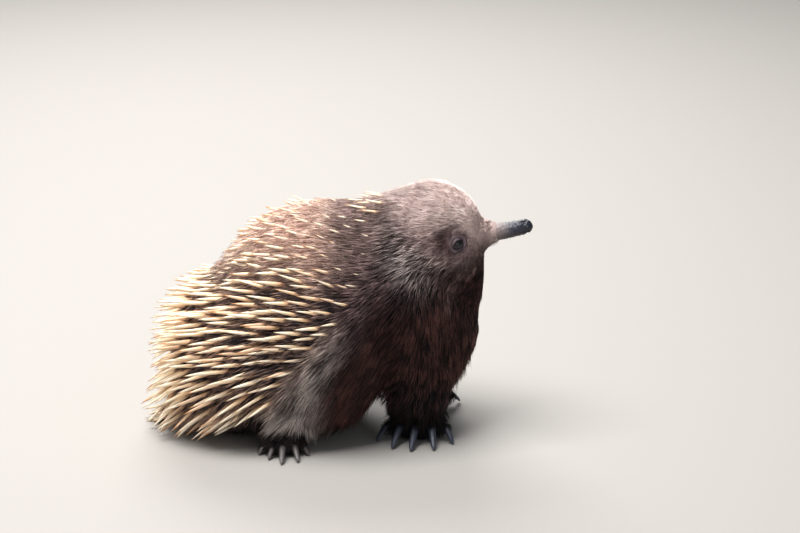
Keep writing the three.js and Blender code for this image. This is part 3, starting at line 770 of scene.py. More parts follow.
def eyeMaterial():
    material, tree, shader = newMaterial("eye_wet", {"Roughness": 0.06, "Specular IOR Level": 0.5})
    outness, place = map(tree.stored, ("along", "place"))
    iris = tree.blend(tree.noise(place, 2.5, 3.0), tone(14, 9, 8), tone(34, 22, 17))
    pupil = tree.smooth(0.78, 0.84, outness)
    feed(tree, shader, Base_Color=tree.blend(pupil, iris, tone(3, 3, 4)))
    return material


materials = {
    "hair": hairMaterial(),
    "skin": skinMaterial(),
    "spine": spineMaterial(),
    "claw": clawMaterial(),
    "beak": beakMaterial(),
    "lid": lidMaterial(),
    "eye": eyeMaterial(),
}
print("materials ready")


# Skin

skinMap = {"angle": 66, "margin": 0.004}  # degrees within an island, and the room between islands


def unwrapped(thing):
    # islands of the skin's own shape, for the places of the tufts on their bake map
    bpy.ops.object.select_all(action="DESELECT")
    bpy.context.view_layer.objects.active = thing
    thing.select_set(True)
    bpy.ops.object.mode_set(mode="EDIT")
    bpy.ops.mesh.select_all(action="SELECT")
    bpy.ops.uv.smart_project(angle_limit=math.radians(skinMap["angle"]), island_margin=skinMap["margin"])
    bpy.ops.object.mode_set(mode="OBJECT")
    layer = thing.data.uv_layers[0]
    places = np.zeros(len(thing.data.loops) * 2, np.float32)
    layer.data.foreach_get("uv", places)
    thing.data.uv_layers.remove(layer)
    return places.reshape(-1, 2)


def makeSkin():
    points, quads = surfaceNet(skinGrid)
    points = ontoSurface(points, skinField, 2)
    ring = points[quads]
    diagonals = [np.linalg.norm(ring[:, i] - ring[:, i + 2], axis=-1) for i in (0, 1)]
    shorter = (diagonals[0] < diagonals[1])[:, None]
    first = np.where(shorter, quads[:, [0, 1, 2]], quads[:, [1, 2, 3]])
    second = np.where(shorter, quads[:, [0, 2, 3]], quads[:, [1, 3, 0]])
    faces = np.concatenate([first, second])
    skin = makeMesh("skin", points, faces, materials["skin"], {"place": points})
    flesh = ["head", "neck", "torso", "rump", "tail"]
    for name in legs:
        flesh += [name, name.replace("leg", "foot")]
    corners = unwrapped(skin).reshape(-1, 3, 2)
    finishPiece(skin, "fur", *flesh)
    return points, faces, corners


skinGrid = Grid(skinField, body["cell"], body["margin"])
skinPoints, skinFaces, skinCorners = makeSkin()
faceMiddles = skinPoints[skinFaces].mean(1)
faceNormals = skinGrid.outward(faceMiddles)
print("skin made,", len(skinFaces), "triangles")


# Beak

beak = {
    "root": (103, 0, 155),
    "tip": (148, 0, 163),
    "stations": (  # share of the length, half height, half width, lift
        (0, 8.6, 8.8, 0.2),
        (0.24, 7.9, 8, 0.1),
        (0.46, 6.9, 7, 0),
        (0.64, 6.3, 6.4, 0),
        (0.8, 6.1, 6.2, 0.5),
        (0.89, 5.5, 5.8, 0.8),
        (0.96, 3.9, 4.2, 0.6),
        (1, 0, 0, 0.2),
    ),
    "bluntFrom": 0.9,  # share of the length past which the end is round
    "rings": 110,
    "sides": 72,
    "sunk": 4,  # how far the root runs on into the face
    "inset": 0.25,  # inside the solid's faces
    "thinnest": 0.15,
    "wrinkleDepth": 0.42,
    "mouthLength": 12,
    "mouthHeight": -2.6,  # from the axis
    "mouthDepth": 1.5,
    "mouthGap": 0.55,
    "lip": (1.5, 0.35),  # width and height
    "nostril": (6.5, 2.3),  # back from the tip, and out from the middle
    "nostrilHalf": (2.0, 0.95),
    "nostrilDepth": 1.9,
    "nostrilRim": 0.4,
}


def beakGirth(along):
    # half height, half width and lift at shares of the length
    table = np.array(beak["stations"])
    along, start = np.clip(along, 0, 1), beak["bluntFrom"]
    blunt = np.sqrt(np.clip(1 - ((along - start) / (1 - start)).clip(0) ** 2, 0, 1))
    girths = [np.interp(np.minimum(along, start), table[:, 0], table[:, k]) * blunt for k in (1, 2)]
    height, width = (np.maximum(girth - beak["inset"], beak["thinnest"]) for girth in girths)
    return height, width, np.interp(along, table[:, 0], table[:, 3])


def beakRelief(along, length, angle, height, width):
    # how far the skin stands out or in: wrinkles, knobs towards the tip, mouth, lips and nostrils
    s, a = along[:, None] * length, angle[None]
    folds = np.sin(a * 8 + 1.9 * np.sin(s * 0.31 + 0.7)) * np.sin(s * 0.47 + 2.3 * np.sin(a * 2 + 1))
    knobs = np.sin(s * 1.35 + 2.4 * np.sin(a * 2 + s * 0.17)) * np.sin(a * 5 + 2.1 * np.sin(s * 0.43 + 0.4))
    knobs = knobs * smooth(0.35, 0.9, along)[:, None]
    creases = np.sin(s * 2.7 + 2.2 * np.sin(a * 3 + 1.2) + 1.3 * np.sin(a * 5 + s * 0.2))
    relief = beak["wrinkleDepth"] * (folds * 0.4 + creases * 0.22 + knobs * 0.75 - 0.25)
    fromTip = length - s
    inMouth = smooth(-beak["mouthLength"], -beak["mouthLength"] + 2, -fromTip)
    offLine = np.sin(a) * height[:, None] - beak["mouthHeight"]
    relief = relief - inMouth * beak["mouthDepth"] * np.exp(-((offLine / beak["mouthGap"]) ** 2))
    lipWidth, lipHeight = beak["lip"]
    relief = relief + inMouth * lipHeight * np.exp(-((offLine / lipWidth) ** 2))
    back, aside = beak["nostril"]
    halfLength, halfWidth = beak["nostrilHalf"]
    for side in (-1, 1):
        gap = ((fromTip - back) / halfLength) ** 2
        gap = gap + ((np.cos(a) * width[:, None] - side * aside) / halfWidth) ** 2
        hole = beak["nostrilDepth"] * np.exp(-(gap**1.5)) - beak["nostrilRim"] * np.exp(-((gap - 2.2) ** 2))
        relief = relief - (np.sin(a) > 0) * hole
    return relief * smooth(beak["thinnest"], 2.5, np.minimum(height, width))[:, None]


def makeBeak():
    root, tip = np.array(beak["root"], float), np.array(beak["tip"], float)
    length = np.linalg.norm(tip - root)
    out, across, up = framing(tip - root)
    rings, sides = beak["rings"], beak["sides"]
    along = mix(-beak["sunk"] / length, 0.9985, np.linspace(0, 1, rings) ** 0.85)  # closer rings at the tip
    height, width, lift = beakGirth(along)
    angle = np.arange(sides) / sides * 2 * np.pi
    relief = beakRelief(along, length, angle, height, width)
    ringUp = (height[:, None] + relief) * np.sin(angle)
    ringAcross = (width[:, None] + relief) * np.cos(angle)
    middle = root + out * (along * length)[:, None] + up * lift[:, None]
    points = middle[:, None] + ringAcross[..., None] * across + ringUp[..., None] * up
    points = np.concatenate([points.reshape(-1, 3), [middle[0], middle[-1] + out * 0.05]])
    shares = np.concatenate([np.repeat(along, sides), [along[0], 1]])
    heights = np.concatenate([np.tile(0.5 + 0.5 * np.sin(angle), rings), [0.5, 0.5]])
    attributes = {"place": points, "along": shares, "tint": heights}
    piece = makeMesh("beak_horn", points, tubeFaces(rings, sides), materials["beak"], attributes)
    finishPiece(piece, "beak_skin", "beak")


makeBeak()
print("beak made")


# Eyes and lids

eye = {
    "radius": 5.15,
    "columns": 48,
    "rows": 32,
    "opening": (4.5, 3.3),  # half length and half height between the lids
    "tilt": 34,  # degrees that the front corner stands higher
    "reach": 10.5,  # from the middle of the eye to where the lids' skin dips under the fur
    "spokes": 120,
    "rings": 44,
    "crowding": 1.25,  # 1 would space the rings evenly, and more crowds them towards the rim
    "backs": ((0.999, 1.2), (0.6, 1.8), (0.25, 1.6), (0, 0.9)),  # the lids' inner side: place, and depth
    "creases": (  # distance from the rim, depth, turn where deepest
        (1.15, 0.3, -2.3),
        (2.2, 0.42, -2.0),
        (3.3, 0.45, -1.5),
        (4.3, 0.35, -2.7),
        (1.9, 0.32, 1.4),
        (3.1, 0.3, 2.1),
        (4.6, 0.3, 0.3),
    ),
}


def makeEye(name, side):
    centre = eyePlace * side
    out, across, up = framing(eyeOut * side)
    rows = np.linspace(0, np.pi, eye["rows"])[1:-1]
    turn = np.arange(eye["columns"]) / eye["columns"] * 2 * np.pi
    cosine, sine = np.cos(rows)[:, None, None], np.sin(rows)[:, None, None]
    normals = sine * circle(turn, across, up) - cosine * out
    normals = np.concatenate([normals.reshape(-1, 3), [-out, out]])
    points = centre + eye["radius"] * normals
    faces = tubeFaces(len(rows), eye["columns"])
    attributes = {"place": points, "along": dot(normals, out)}
    piece = makeMesh(name.replace("eye", "eyeball"), points, faces, materials["eye"], attributes)
    finishPiece(piece, "eye", name)


def makeLids(name, side):
    centre = eyePlace * side
    out, across, up = framing(eyeOut * side)
    hand = -1 if side[1] > 0 else 1  # the front corner lies towards +x on both sides
    tilt = math.radians(eye["tilt"])
    forward = across * hand
    length = forward * math.cos(tilt) + up * math.sin(tilt)
    height = up * math.cos(tilt) - forward * math.sin(tilt)
    turn = np.arange(eye["spokes"]) / eye["spokes"] * 2 * np.pi
    spokes = circle(turn, length, height)
    halfLength, halfHeight = eye["opening"]
    pinch = 1 - 0.12 * np.abs(np.sin(turn * 2))  # corners a little drawn out
    inner = 1 / np.sqrt((np.cos(turn) / halfLength) ** 2 + (np.sin(turn) / halfHeight) ** 2) * pinch
    share = np.linspace(0, 1, eye["rings"])[:, None]
    radius = mix(inner[None], eye["reach"], share ** eye["crowding"])
    flat = radius[..., None] * spokes
    skinHeight = np.zeros(radius.shape)  # over the plane through the eye's middle
    for _ in range(8):
        p = centre + flat + skinHeight[..., None] * out
        skinHeight = skinHeight - (furField(p) + coatDepth(p))
    ball = np.sqrt(eye["radius"] ** 2 - np.minimum(radius, 4.65) ** 2)
    away = radius - inner
    lid = ball + 0.4 + 0.45 * smooth(0, 1.1, away)
    lower = 0.5 - 0.5 * np.sin(turn)  # 1 at the lower lid, which is the fuller one
    settled = skinHeight + (0.35 + 0.7 * lower) * np.exp(-(((away - 2.4) / 1.9) ** 2))
    level = mix(lid, settled, smooth(0.7, 3.4, away))
    dips = np.zeros(radius.shape)
    for distance, depth, deepest in eye["creases"]:
        line = distance * (1 + 0.16 * np.sin(turn * 2 + deepest * 3) + 0.07 * np.sin(turn * 5 + deepest))
        strength = np.clip(0.5 + 0.75 * np.cos(turn - deepest), 0, 1)
        dips = dips + depth * strength * np.exp(-(((away - line) / 0.3) ** 2))
    rays = np.sin(turn * 19 + 1.7 * np.sin(away * 1.1)) * 0.08 * smooth(0.6, 1.6, away)
    level = level - dips + rays - 1.8 * smooth(0.8, 1, share)
    rings = list(centre + flat + level[..., None] * out)
    for back, depth in eye["backs"]:
        k = round(back ** (1 / eye["crowding"]) * (eye["rings"] - 1))
        spread = mix(inner, eye["reach"], back)[:, None] * spokes
        rings.append(centre + spread + (level[k] - depth)[:, None] * out)
    shares = np.concatenate([share[:, 0], [1, 0.6, 0.25, 0]])
    # painted shade in the lids' creases, from their depth
    shade = np.concatenate([(dips * 2.2).ravel(), np.zeros(len(eye["backs"]) * eye["spokes"])])
    points = np.concatenate(rings)
    attributes = {"place": points, "along": np.repeat(shares, eye["spokes"]), "tint": shade}
    faces = tubeFaces(len(rings), eye["spokes"], True)
    if hand < 0:
        faces = faces[:, ::-1]
    piece = makeMesh(name, points, faces, materials["lid"], attributes)
    finishPiece(piece, "fur")


for name, side in (("right", mirror), ("left", np.ones(3))):
    makeEye("eye_" + name, side)
    makeLids("eyelids_" + name, side)
print("eyes made")


# Claws

clawShape = {
    "rings": 26,
    "sides": 24,
    "bow": 0.13,  # share of the length that the middle rises
    "flatness": 0.75,
    "inset": 0.12,
    "tipShare": 0.5,  # how much of the width is gone at the tip
    "hollow": 0.55,  # share of the thickness that is left on the under side
    "groove": 0.12,
    "grooves": 7,
    "floorGap": 0.05,
}


def clawForm(claw):
    # points of one bowed claw, grooved along its back, and how far each lies towards the tip
    root, tip = claw["root"], claw["tip"]
    sides = clawShape["sides"]
    bow = (root + tip) / 2 + np.array([0, 0, np.linalg.norm(tip - root) * clawShape["bow"]])
    t = np.linspace(0, 1, clawShape["rings"])[:, None] ** 0.8 * 0.985
    line = (1 - t) ** 2 * root + 2 * t * (1 - t) * bow + t**2 * tip
    tangent = unit(2 * (1 - t) * (bow - root) + 2 * t * (tip - bow))
    across = framing(tip - root)[1]
    up = unit(np.cross(tangent, across))
    wide = claw["radius"] * (1 - clawShape["tipShare"] * t**2) - clawShape["inset"]
    wide = wide * np.sqrt(np.clip(1 - ((t - 0.8) / 0.195).clip(0) ** 2, 0.004, 1))
    angle = np.arange(sides) / sides * 2 * np.pi
    ridges = 0.5 * (1 + np.cos(angle * clawShape["grooves"])) * (np.sin(angle) > -0.2)
    wide = wide * (1 - clawShape["groove"] * ridges)
    thick = wide * np.where(np.sin(angle) < 0, clawShape["hollow"], 1.0) * clawShape["flatness"]
    points = line[:, None] + (wide * np.cos(angle))[..., None] * across
    points = (points + (thick * np.sin(angle))[..., None] * up[:, None]).reshape(-1, 3)
    points = np.concatenate([points, [line[0], line[-1] + tangent[-1] * 0.05]])
    points[:, 2] = np.maximum(points[:, 2], clawShape["floorGap"])
    return points, np.concatenate([np.repeat(t, sides), [0, 1]])


def makeClaws(name, leg):
    forms, shares = zip(*[clawForm(claw) for claw in clawPlaces(leg)])
    points, pattern = np.concatenate(forms), tubeFaces(clawShape["rings"], clawShape["sides"])
    faces = np.concatenate([pattern + i * len(form) for i, form in enumerate(forms)])
    brownness = np.full(len(points), legKinds[leg["kind"]]["brownness"])
    attributes = {"place": points, "along": np.concatenate(shares), "tint": brownness}
    piece = makeMesh(name + "_claws", points, faces, materials["claw"], attributes)
    finishPiece(piece, "claw", *[f"{name}_claw_{i + 1}" for i in range(len(forms))])


for name, leg in legs.items():
    makeClaws(name.replace("leg", "foot"), leg)
print("claws made")


# Spines, set on the skin by a geometry tree

spines = {
    "seed": 5,
    "tries": 30000,
    "spacing": (7.3, 9.0),  # between roots on the rump and near the neck
    "length": (17, 34),  # near the neck and on the rump
    "lowStretch": 1.3,  # the lowest are this much longer, so that they end nearer to the floor
    "radius": (1.05, 1.95),
    "lift": (20, 32, 50),  # least, most, and most at the very rear and lowest, in degrees
    "stray": 0.26,
    "sunk": 2,  # root below the skin
    "boxGap": 1,  # tip inside the box of the solids
    "floorGap": 2,
    "sides": 8,
    "segments": 6,
    "patch": 0.003,  # size of a spine on the bake map
}


def spinyShare(p, normal):
    above = smooth(-4, 10, p[:, 2] - lineAt("spines", p[:, 0]))
    return above * (1 - smooth(32, 46, p[:, 0])) * smooth(-1, -0.9, normal[:, 2])


def spineWay(p):
    # backwards and outwards, up on the back and down on the rump
    z = p[:, 2]
    rise = 0.35 * smooth(85, 150, z) - 1.2 * (1 - smooth(5, 85, z)) * smooth(-8, 34, z)
    rise = mix(-0.75, rise, smooth(8, 30, z))
    return unit(np.stack([-np.ones(len(p)), p[:, 1] / mix(60, 230, smooth(20, 85, z)), rise], -1))


def alongSkin(way, normal):
    return unit(way - dot(way, normal)[:, None] * normal)


def lifted(way, normal, least, most):
    # the way turned until it leaves the skin at an angle between the two
    lift = np.clip(np.arcsin(np.clip(dot(way, normal), -1, 1)), np.radians(least), np.radians(most))
    return alongSkin(way, normal) * np.cos(lift)[:, None] + normal * np.sin(lift)[:, None]


def rootsOnSkin(count, weights, rng):
    # random places on the skin, as likely as the weights say, with their places on its unwrap
    corners = skinPoints[skinFaces]
    areas = np.linalg.norm(np.cross(corners[:, 1] - corners[:, 0], corners[:, 2] - corners[:, 0]), axis=-1)
    chances = areas * weights
    face = rng.choice(len(skinFaces), count, p=chances / chances.sum())
    u, v = rng.random(count), rng.random(count)
    over = u + v > 1
    u, v = np.where(over, 1 - u, u), np.where(over, 1 - v, v)
    shares = np.stack([1 - u - v, u, v], -1)[..., None]
    return (corners[face] * shares).sum(1), (skinCorners[face] * shares).sum(1)


def pointTree(points):
    tree = kdtree.KDTree(len(points))
    for i, p in enumerate(points):
        tree.insert(p, i)
    tree.balance()
    return tree


def spacedOut(points, spacing):
    # the numbers of points kept so that none lies nearer to a kept one than its spacing
    tree = pointTree(points)
    kept, gone = [], np.zeros(len(points), bool)
    for i, p in enumerate(points):
        if gone[i]:
            continue
        kept.append(i)
        for _, j, _ in tree.find_range(p, spacing[i]):
            gone[j] = True
    return np.array(kept)


def spineTemplateTree():
    tree = bpy.data.node_groups.new("spines on skin", "GeometryNodeTree")
    tree.interface.new_socket("Roots", in_out="INPUT", socket_type="NodeSocketGeometry")
    sockets = {}
    for name, kind in (("Sides", "Int"), ("Segments", "Int"), ("Seed", "Int"), ("Horn", "Material")):
        socket = tree.interface.new_socket(name, in_out="INPUT", socket_type="NodeSocket" + kind)
        sockets[name] = socket.identifier
    tree.interface.new_socket("Spines", in_out="OUTPUT", socket_type="NodeSocketGeometry")
    build = Tree(tree)
    given = tree.nodes.new("NodeGroupInput")
    inputs = {name: Value(build, given.outputs[name]) for name in ("Roots", *sockets)}
    sizes = {"Vertices": inputs["Sides"], "Side Segments": inputs["Segments"], "Radius": 1.0, "Depth": 1.0}
    rod = build.add("GeometryNodeMeshCylinder", None, sizes)
    place = build.add("GeometryNodeInputPosition")
    x, y, z = (build.add("ShaderNodeSeparateXYZ", None, {0: place}, i) for i in range(3))
    height = z + 0.5
    # narrow at the root, widest before the middle, and drawn out to a point
    taper = (1 - height) ** 0.62 * 1.28
    rooted = 0.55 + build.smooth(0.0, 0.35, height) * 0.45
    profile = taper.using("MINIMUM", 1.0) * rooted + 0.02
    moved = build.add("ShaderNodeCombineXYZ", None, {0: x * profile, 1: y * profile, 2: height})
    store = {"data_type": "FLOAT", "domain": "POINT"}
    values = {"Geometry": rod, "Name": "along", "Value": height}
    marked = build.add("GeometryNodeStoreNamedAttribute", store, values)
    shaped = build.add("GeometryNodeSetPosition", None, {"Geometry": marked, "Position": moved})
    kind, vector = "GeometryNodeInputNamedAttribute", {"data_type": "FLOAT_VECTOR"}
    lie, size = (build.add(kind, vector, {"Name": name}) for name in ("lie", "size"))
    facing = build.add("FunctionNodeAlignRotationToVector", {"axis": "Z"}, {"Vector": lie})
    values = {"Seed": inputs["Seed"], 2: 0.0, 3: 6.28}
    roll = build.add("FunctionNodeRandomValue", {"data_type": "FLOAT"}, values, 1)
    roll = build.add("FunctionNodeAxisAngleToRotation", None, {"Axis": (0, 0, 1), "Angle": roll})
    turned = build.add("FunctionNodeRotateRotation", {"rotation_space": "LOCAL"}, {0: facing, 1: roll})
    values = {"Points": inputs["Roots"], "Instance": shaped, "Rotation": turned, "Scale": size}
    placed = build.add("GeometryNodeInstanceOnPoints", None, values)
    real = build.add("GeometryNodeRealizeInstances", None, {"Geometry": placed})
    painted = build.add("GeometryNodeSetMaterial", None, {"Geometry": real, "Material": inputs["Horn"]})
    output = tree.nodes.new("NodeGroupOutput")
    tree.links.new(painted.socket, output.inputs[0])
    return tree, sockets


def spineRoots(rng):
    # places on the skin and on its unwrap, the way out of the skin, and how near the rump each lies
    roots, places = rootsOnSkin(spines["tries"], spinyShare(faceMiddles, faceNormals) > 0.5, rng)
    normals = skinGrid.outward(roots)
    room = (legDistance(roots) > 2) & (roots[:, 2] > 5)
    room = room & (rng.random(len(roots)) < spinyShare(roots, normals))
    roots, places, normals = roots[room], places[room], normals[room]
    rearward = 1 - smooth(-75, 40, roots[:, 0])
    kept = spacedOut(roots, mix(spines["spacing"][1], spines["spacing"][0], rearward))
    return roots[kept], places[kept], normals[kept], rearward[kept]


def spineRods(roots, normals, rearward, rng):
    # start, way, radius and length of each spine, with its tip inside the box and off the floor
    count = len(roots)
    stray = (rng.random((count, 3)) - 0.5) * spines["stray"]
    least, most, steepest = spines["lift"]
    most = mix(most, steepest, 1 - smooth(-120, -85, roots[:, 0]) * smooth(30, 66, roots[:, 2]))
    lie = lifted(unit(spineWay(roots) + stray), normals, least, most)
    size = rearward * 0.72 + rng.random(count) * 0.28
    length = mix(*spines["length"], size) * mix(spines["lowStretch"], 1, smooth(32, 66, roots[:, 2]))
    radius = mix(*spines["radius"], size) * (0.85 + 0.3 * rng.random(count))
    low, high = boxLow + spines["boxGap"], boxHigh - spines["boxGap"]
    for _ in range(3):
        tip = roots + lie * length[:, None]
        length = np.where(np.any((tip < low) | (tip > high), axis=-1), length * 0.86, length)
    tip = np.clip(roots + lie * length[:, None], low, high)
    tip[:, 2] = np.maximum(tip[:, 2], spines["floorGap"])
    lie = unit(tip - roots)
    start = roots - lie * spines["sunk"]
    return start, lie, radius, np.linalg.norm(tip - start, axis=-1)


def makeSpines():
    rng = np.random.default_rng(spines["seed"])
    roots, places, normals, rearward = spineRoots(rng)
    count = len(roots)
    start, lie, radius, length = spineRods(roots, normals, rearward, rng)
    data = meshOfPoints("spine roots", start)
    sizes = np.stack([radius, radius, length], -1) / 1000
    storeValues(data, {"lie": lie, "size": sizes, "place": roots, "tint": rng.random(count)})
    holder = inScene("spine roots", data)
    modifier = holder.modifiers.new("spines", "NODES")
    modifier.node_group, sockets = spineTemplateTree()
    for name in ("Sides", "Segments", "Seed"):
        modifier[sockets[name]] = spines[name.lower()]
    modifier[sockets["Horn"]] = materials["spine"]
    graph = bpy.context.evaluated_depsgraph_get()
    mesh = bpy.data.meshes.new_from_object(holder.evaluated_get(graph))
    bpy.data.objects.remove(holder)
    piece = inScene("spines", mesh)
    mesh.polygons.foreach_set("use_smooth", np.ones(len(mesh.polygons), bool))
    along = np.zeros(len(mesh.vertices), np.float32)
    mesh.attributes["along"].data.foreach_get("value", along)
    corners = np.zeros(len(mesh.loops), np.int32)
    mesh.loops.foreach_get("vertex_index", corners)
    spin = np.arange(len(along)) % spines["sides"] / spines["sides"]
    patch = np.stack([spin, along], -1) * spines["patch"]
    setBakeMap(mesh, (np.repeat(places, len(along) // count, axis=0) + patch)[corners])
    finishPiece(piece, "spiny_coat")
    return count


print("spines made,", makeSpines())


# Coat of hair: thin three-sided tufts that follow the lie of the coat over the skin

hair = {
    "seed": 23,
    "long": {
        "points": (0, 0.3, 0.66, 1.0),  # shares of a tuft's length at its rings and its tip
        "rise": (0.0, 0.62, 0.9, 1.0),  # share of its height that it has reached there
        "girth": (0.75, 1.0, 0.72),  # share of its width at each ring
    },
    "short": {"points": (0, 0.45, 1.0), "rise": (0.0, 0.75, 1.0), "girth": (0.85, 0.9)},
    "trunkLength": 19,
    "rumpLength": (30, 17),  # low down and higher up, between the spines
    "length": {"lowFlank": 38, "neck": 20, "chest": 22, "leg": 17, "paw": 7, "head": 9.5},
    "faceLength": (3.4, 5.4),  # below the crown and on it
    "lidLength": 2.6,
    "height": {"leg": 5, "paw": 2},  # over the skin, where it isn't the depth of the coat
    "trunkWidth": (0.62, 0.72),
    "width": {"head": 0.36, "face": 0.22, "paw": 0.34},
    "wildShare": 0.3,  # of the tufts, which stand up more
    "floorGap": 0.6,
    "clumpSpacing": 4.6,
    "clumpPull": 0.62,
    "bareEye": 7.5,  # no hair roots nearer to the eye's middle
    "patch": 0.003,  # size of a tuft on the bake map
}
coatPieces = {  # number of tufts and their kind
    "hair_head": (18500, "short"),
    "hair_neck": (11500, "long"),
    "hair_chest": (10500, "long"),
    "hair_back_right": (12200, "long"),
    "hair_back_left": (12200, "long"),
    "hair_flank_right": (11800, "long"),
    "hair_flank_left": (9800, "long"),
    "hair_legs": (9000, "long"),
}


def zones(p, normal):
    # shares from 0 to 1 of the parts of the coat at places on the skin
    x, y, z = p.T
    dark = np.minimum(lineAt("jaw", x), lineAt("shoulder", x)) - z
    zone = {
        "head": smooth(-12, 6, aheadOfCut(p)),
        "face": smooth(86, 106, x) * smooth(128, 140, z),
        "spiny": spinyShare(p, normal),
        "chest": smooth(-9, 9, dark) * smooth(20, 44, x),
        "neck": smooth(10, 34, x + (z - 120) * 0.3),
        "leg": (1 - smooth(-1.5, 5, legDistance(p))) * (1 - smooth(60, 84, z)),
        "paw": 1 - smooth(0.5, 4, legDistance(p, pawField)),
        "low": 1 - smooth(60, 125, z),
        "high": smooth(*backRidge["heights"], z - np.abs(y) * backRidge["sideDrop"]),
        "under": smooth(0.35, 0.8, -normal[:, 2]),
    }
    zone["leg"] = np.maximum(zone["leg"], zone["paw"])
    zone["lowFlank"] = (1 - zone["spiny"]) * zone["low"] * (1 - zone["neck"])
    return zone


def hairWay(p, zone):
    # back and down, as the spines on the back, and away from the beak's tip on the head
    front = smooth(42, 66, p[:, 0]) * (1 - smooth(120, 150, p[:, 2]))
    down = mix(1.5, 0.35, smooth(25, 150, p[:, 2]))
    flow = np.stack([-mix(1, 0.12, front), np.zeros(len(p)), -mix(down, 1.5, front)], -1)
    flow = mix(unit(flow), spineWay(p), (zone["spiny"] * 0.8)[:, None])
    fromBeak = unit(p - np.array([152, 0, 163]))
    return unit(mix(unit(flow), fromBeak, zone["head"][:, None]))


def overlaid(value, parts, zone):
    for name, part in parts.items():
        value = mix(value, part, zone[name])
    return value


def coatLook(zone, p, rng):
    # length, height over the skin, and width of each tuft
    count = len(p)
    length = mix(hair["trunkLength"], mix(*hair["rumpLength"], smooth(30, 60, p[:, 2])), zone["spiny"])
    length = overlaid(length, hair["length"], zone)
    length = mix(length, mix(*hair["faceLength"], smooth(160, 178, p[:, 2])), zone["face"])
    length = mix(hair["lidLength"], length, smooth(7, 17, eyeDistance(p)))
    length = length * (0.7 + 0.45 * rng.random(count))
    height = coatDepth(p) * mix(1.0, mix(0.52, 1.0, zone["high"]), zone["spiny"])
    height = overlaid(height, hair["height"], zone)
    height = height * mix(0.45, 1.06, rng.random(count) ** 0.7)
    width = overlaid(mix(*hair["trunkWidth"], zone["high"] * zone["spiny"]), hair["width"], zone)
    width = width * (0.75 + 0.5 * rng.random(count))
    return length, height, width


def growHair(roots, normals, kind, rng):
    # the points of each tuft's middle line, which bends over the skin and is held near its own height
    zone = zones(roots, normals)
    length, height, width = coatLook(zone, roots, rng)
    stray = (rng.random((len(roots), 3)) - 0.5) * mix(0.5, 0.36, zone["head"])[:, None]
    wild = (rng.random(len(roots)) < hair["wildShare"]) * (1 - 0.4 * zone["face"])
    way = unit(hairWay(roots, zone) + stray)
    heading = unit(alongSkin(way, normals) + normals * (0.5 + 0.8 * wild)[:, None])
    line = [roots - normals * 0.5]
    p = roots
    for step, rise in zip(np.diff(kind["points"]), kind["rise"][1:]):
        outward = skinGrid.outward(p)
        way = unit(hairWay(p, zone) + stray)
        hang = (smooth(0.05, 0.45, -outward[:, 2]) * zone["low"])[:, None]  # free of the skin, under the flank
        onward = mix(alongSkin(way, outward), way, hang)
        heading = unit(heading * 0.45 + onward * 0.75 + np.array([0, 0, -0.06]))
        p = p + heading * (length * step)[:, None]
        short = height * rise - skinGrid.height(p)
        hold = mix(0.85, 0.05, hang[:, 0]) * (1 - 0.9 * wild)
        p = p + skinGrid.outward(p) * np.where(short > 0, short, short * hold)[:, None]
        p[:, 2] = np.maximum(p[:, 2], hair["floorGap"])
        line.append(p)
    return np.stack(line, 1), width


def clumped(lines, kind, rng):
    # tips drawn towards the tuft that leads each clump
    roots = lines[:, 0]
    leaders = spacedOut(roots, np.full(len(roots), hair["clumpSpacing"]))
    tree = pointTree(roots[leaders])
    nearest = np.array([tree.find(p)[1] for p in roots])
    pull = hair["clumpPull"] * rng.random(len(leaders))[nearest]
    shares = np.array(kind["points"])[None, :, None] ** 1.4
    drawn = lines + (lines[leaders][nearest] - lines) * pull[:, None, None] * shares
    return drawn, rng.random(len(leaders))[nearest]


def tuftMesh(name, lines, width, places, tints, kind):
    # three-sided tufts, each ending in a point
    count, rings = len(lines), len(kind["girth"])
    lines = np.clip(lines, boxLow, boxHigh)
    onward = np.gradient(lines, axis=1)
    outward = skinGrid.outward(lines[:, 1])[:, None]
    across = unit(np.cross(onward, outward))
    up = unit(np.cross(across, onward)) * 0.7
    angles = np.pi / 2 + np.arange(3) * 2 * np.pi / 3
    girth = np.array(kind["girth"])[None, :, None, None] * width[:, None, None, None] / 2
    ring = circle(angles, across[:, :rings, None], up[:, :rings, None])
    around = (lines[:, :rings, None] + ring * girth).reshape(count, rings * 3, 3)
    points = np.concatenate([around, lines[:, -1:]], 1)
    pattern = [(0, 2, 1)]
    for r in range(rings - 1):
        for s in range(3):
            a, b = r * 3 + s, r * 3 + (s + 1) % 3
            pattern += [(a, b, b + 3), (a, b + 3, a + 3)]
    for s in range(3):
        pattern.append(((rings - 1) * 3 + s, (rings - 1) * 3 + (s + 1) % 3, rings * 3))
    perTuft = rings * 3 + 1
    faces = (np.array(pattern)[None] + np.arange(count)[:, None, None] * perTuft).reshape(-1, 3)
    along = np.concatenate([np.repeat(kind["points"][:rings], 3), [1.0]])
    spin = np.concatenate([np.tile([0, 0.5, 1.0], rings), [0.5]])
    patch = np.stack([spin, along], -1) * hair["patch"]
    bakeMap = (places[:, None] + patch[None]).reshape(-1, 2)
    attributes = {
        "along": np.tile(along, count),
        "tint": np.repeat(tints, perTuft),
        "place": np.repeat(lines[:, 0], perTuft, axis=0),
    }
    piece = makeMesh(name, points.reshape(-1, 3), faces, materials["hair"], attributes, bakeMap)
    finishPiece(piece, "fur")


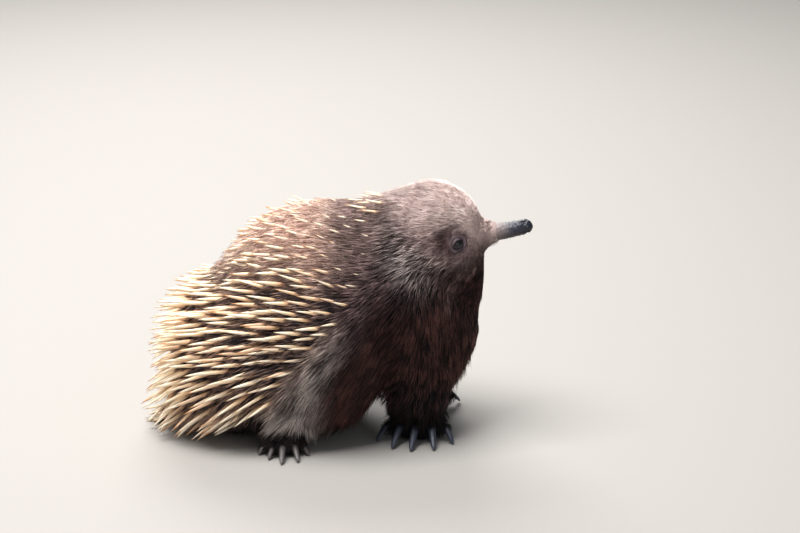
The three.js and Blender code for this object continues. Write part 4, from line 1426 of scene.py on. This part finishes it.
def makeCoat():
    rng = np.random.default_rng(hair["seed"])
    zone = zones(faceMiddles, faceNormals)
    trunk = (1 - zone["head"]) * (1 - zone["leg"])
    seen = (eyeDistance(faceMiddles) > hair["bareEye"]) * (faceMiddles[:, 2] > 1.2)
    seen = seen * (1 - 0.6 * zone["under"] * (1 - zone["head"]) * (1 - zone["spiny"]))
    furred = 1 - 0.93 * smooth(111, 121, faceMiddles[:, 0])  # thinner towards the beak
    back = trunk * zone["spiny"] * (0.6 + zone["high"])
    flank = trunk * (1 - zone["spiny"]) * (1 - zone["neck"]) * (1 - zone["chest"])
    rightSide = faceMiddles[:, 1] < 0
    weights = {
        "hair_head": zone["head"] * (1 + 2 * zone["face"]) * furred,
        "hair_neck": trunk * (1 - zone["chest"]) * zone["neck"],
        "hair_chest": trunk * zone["chest"],
        "hair_back_right": back * rightSide,
        "hair_back_left": back * ~rightSide,
        "hair_flank_right": flank * rightSide,
        "hair_flank_left": flank * ~rightSide,
        "hair_legs": zone["leg"] * (1 + zone["paw"]),
    }
    for name, (count, kindName) in coatPieces.items():
        kind = hair[kindName]
        roots, places = rootsOnSkin(count, weights[name] * seen + 1e-9, rng)
        lines, width = growHair(roots, skinGrid.outward(roots), kind, rng)
        lines, clumpTint = clumped(lines, kind, rng)
        tints = np.clip(clumpTint * 0.45 + rng.random(count) * 0.55, 0, 1)
        tuftMesh(name, lines, width, places, tints, kind)
        print(name, count, "tufts")


makeCoat()


# Floor and light

studio = {
    "floorHalf": 6000,
    "floor": (160, 157, 153),
    "floorRoughness": 0.8,
    "sky": (228, 230, 234),
    "skyStrength": 0.28,
    "aim": (0, 0, 90),
}
lights = {  # where each stands from the animal's origin, its size, power and colour
    "key": ((-350, -250, 1700), 1000, 54, (1.0, 0.98, 0.965)),
    "rim": ((-300, 1300, 1200), 1000, 31, (1.0, 0.98, 0.96)),
    "fill": ((900, -1700, 500), 1400, 6, (0.94, 0.96, 1.0)),
}


def makeFloor():
    corners = np.array([(-1, -1, 0), (1, -1, 0), (1, 1, 0), (-1, 1, 0)]) * studio["floorHalf"]
    finish = {"Base Color": tone(*studio["floor"]), "Roughness": studio["floorRoughness"]}
    material = newMaterial("pale floor", finish)[0]
    makeMesh("floor", corners, np.array([[0, 1, 2, 3]]), material)


def makeLights():
    for name, (place, size, power, colour) in lights.items():
        data = bpy.data.lights.new(name, "AREA")
        data.energy, data.size, data.color = power, size / 1000, colour
        lamp = inScene(name, data)
        lamp.location = (Vector(place) + Vector(shift)) / 1000
        lamp.rotation_euler = (Vector(studio["aim"]) - Vector(place)).to_track_quat("-Z", "Y").to_euler()
    world = bpy.data.worlds.new("studio")
    world.use_nodes = True
    sky = world.node_tree.nodes["Background"]
    sky.inputs["Color"].default_value = tone(*studio["sky"])
    sky.inputs["Strength"].default_value = studio["skyStrength"]
    bpy.context.scene.world = world


makeFloor()
makeLights()
bpy.context.scene.view_settings.view_transform = "Standard"

print("scene ready")
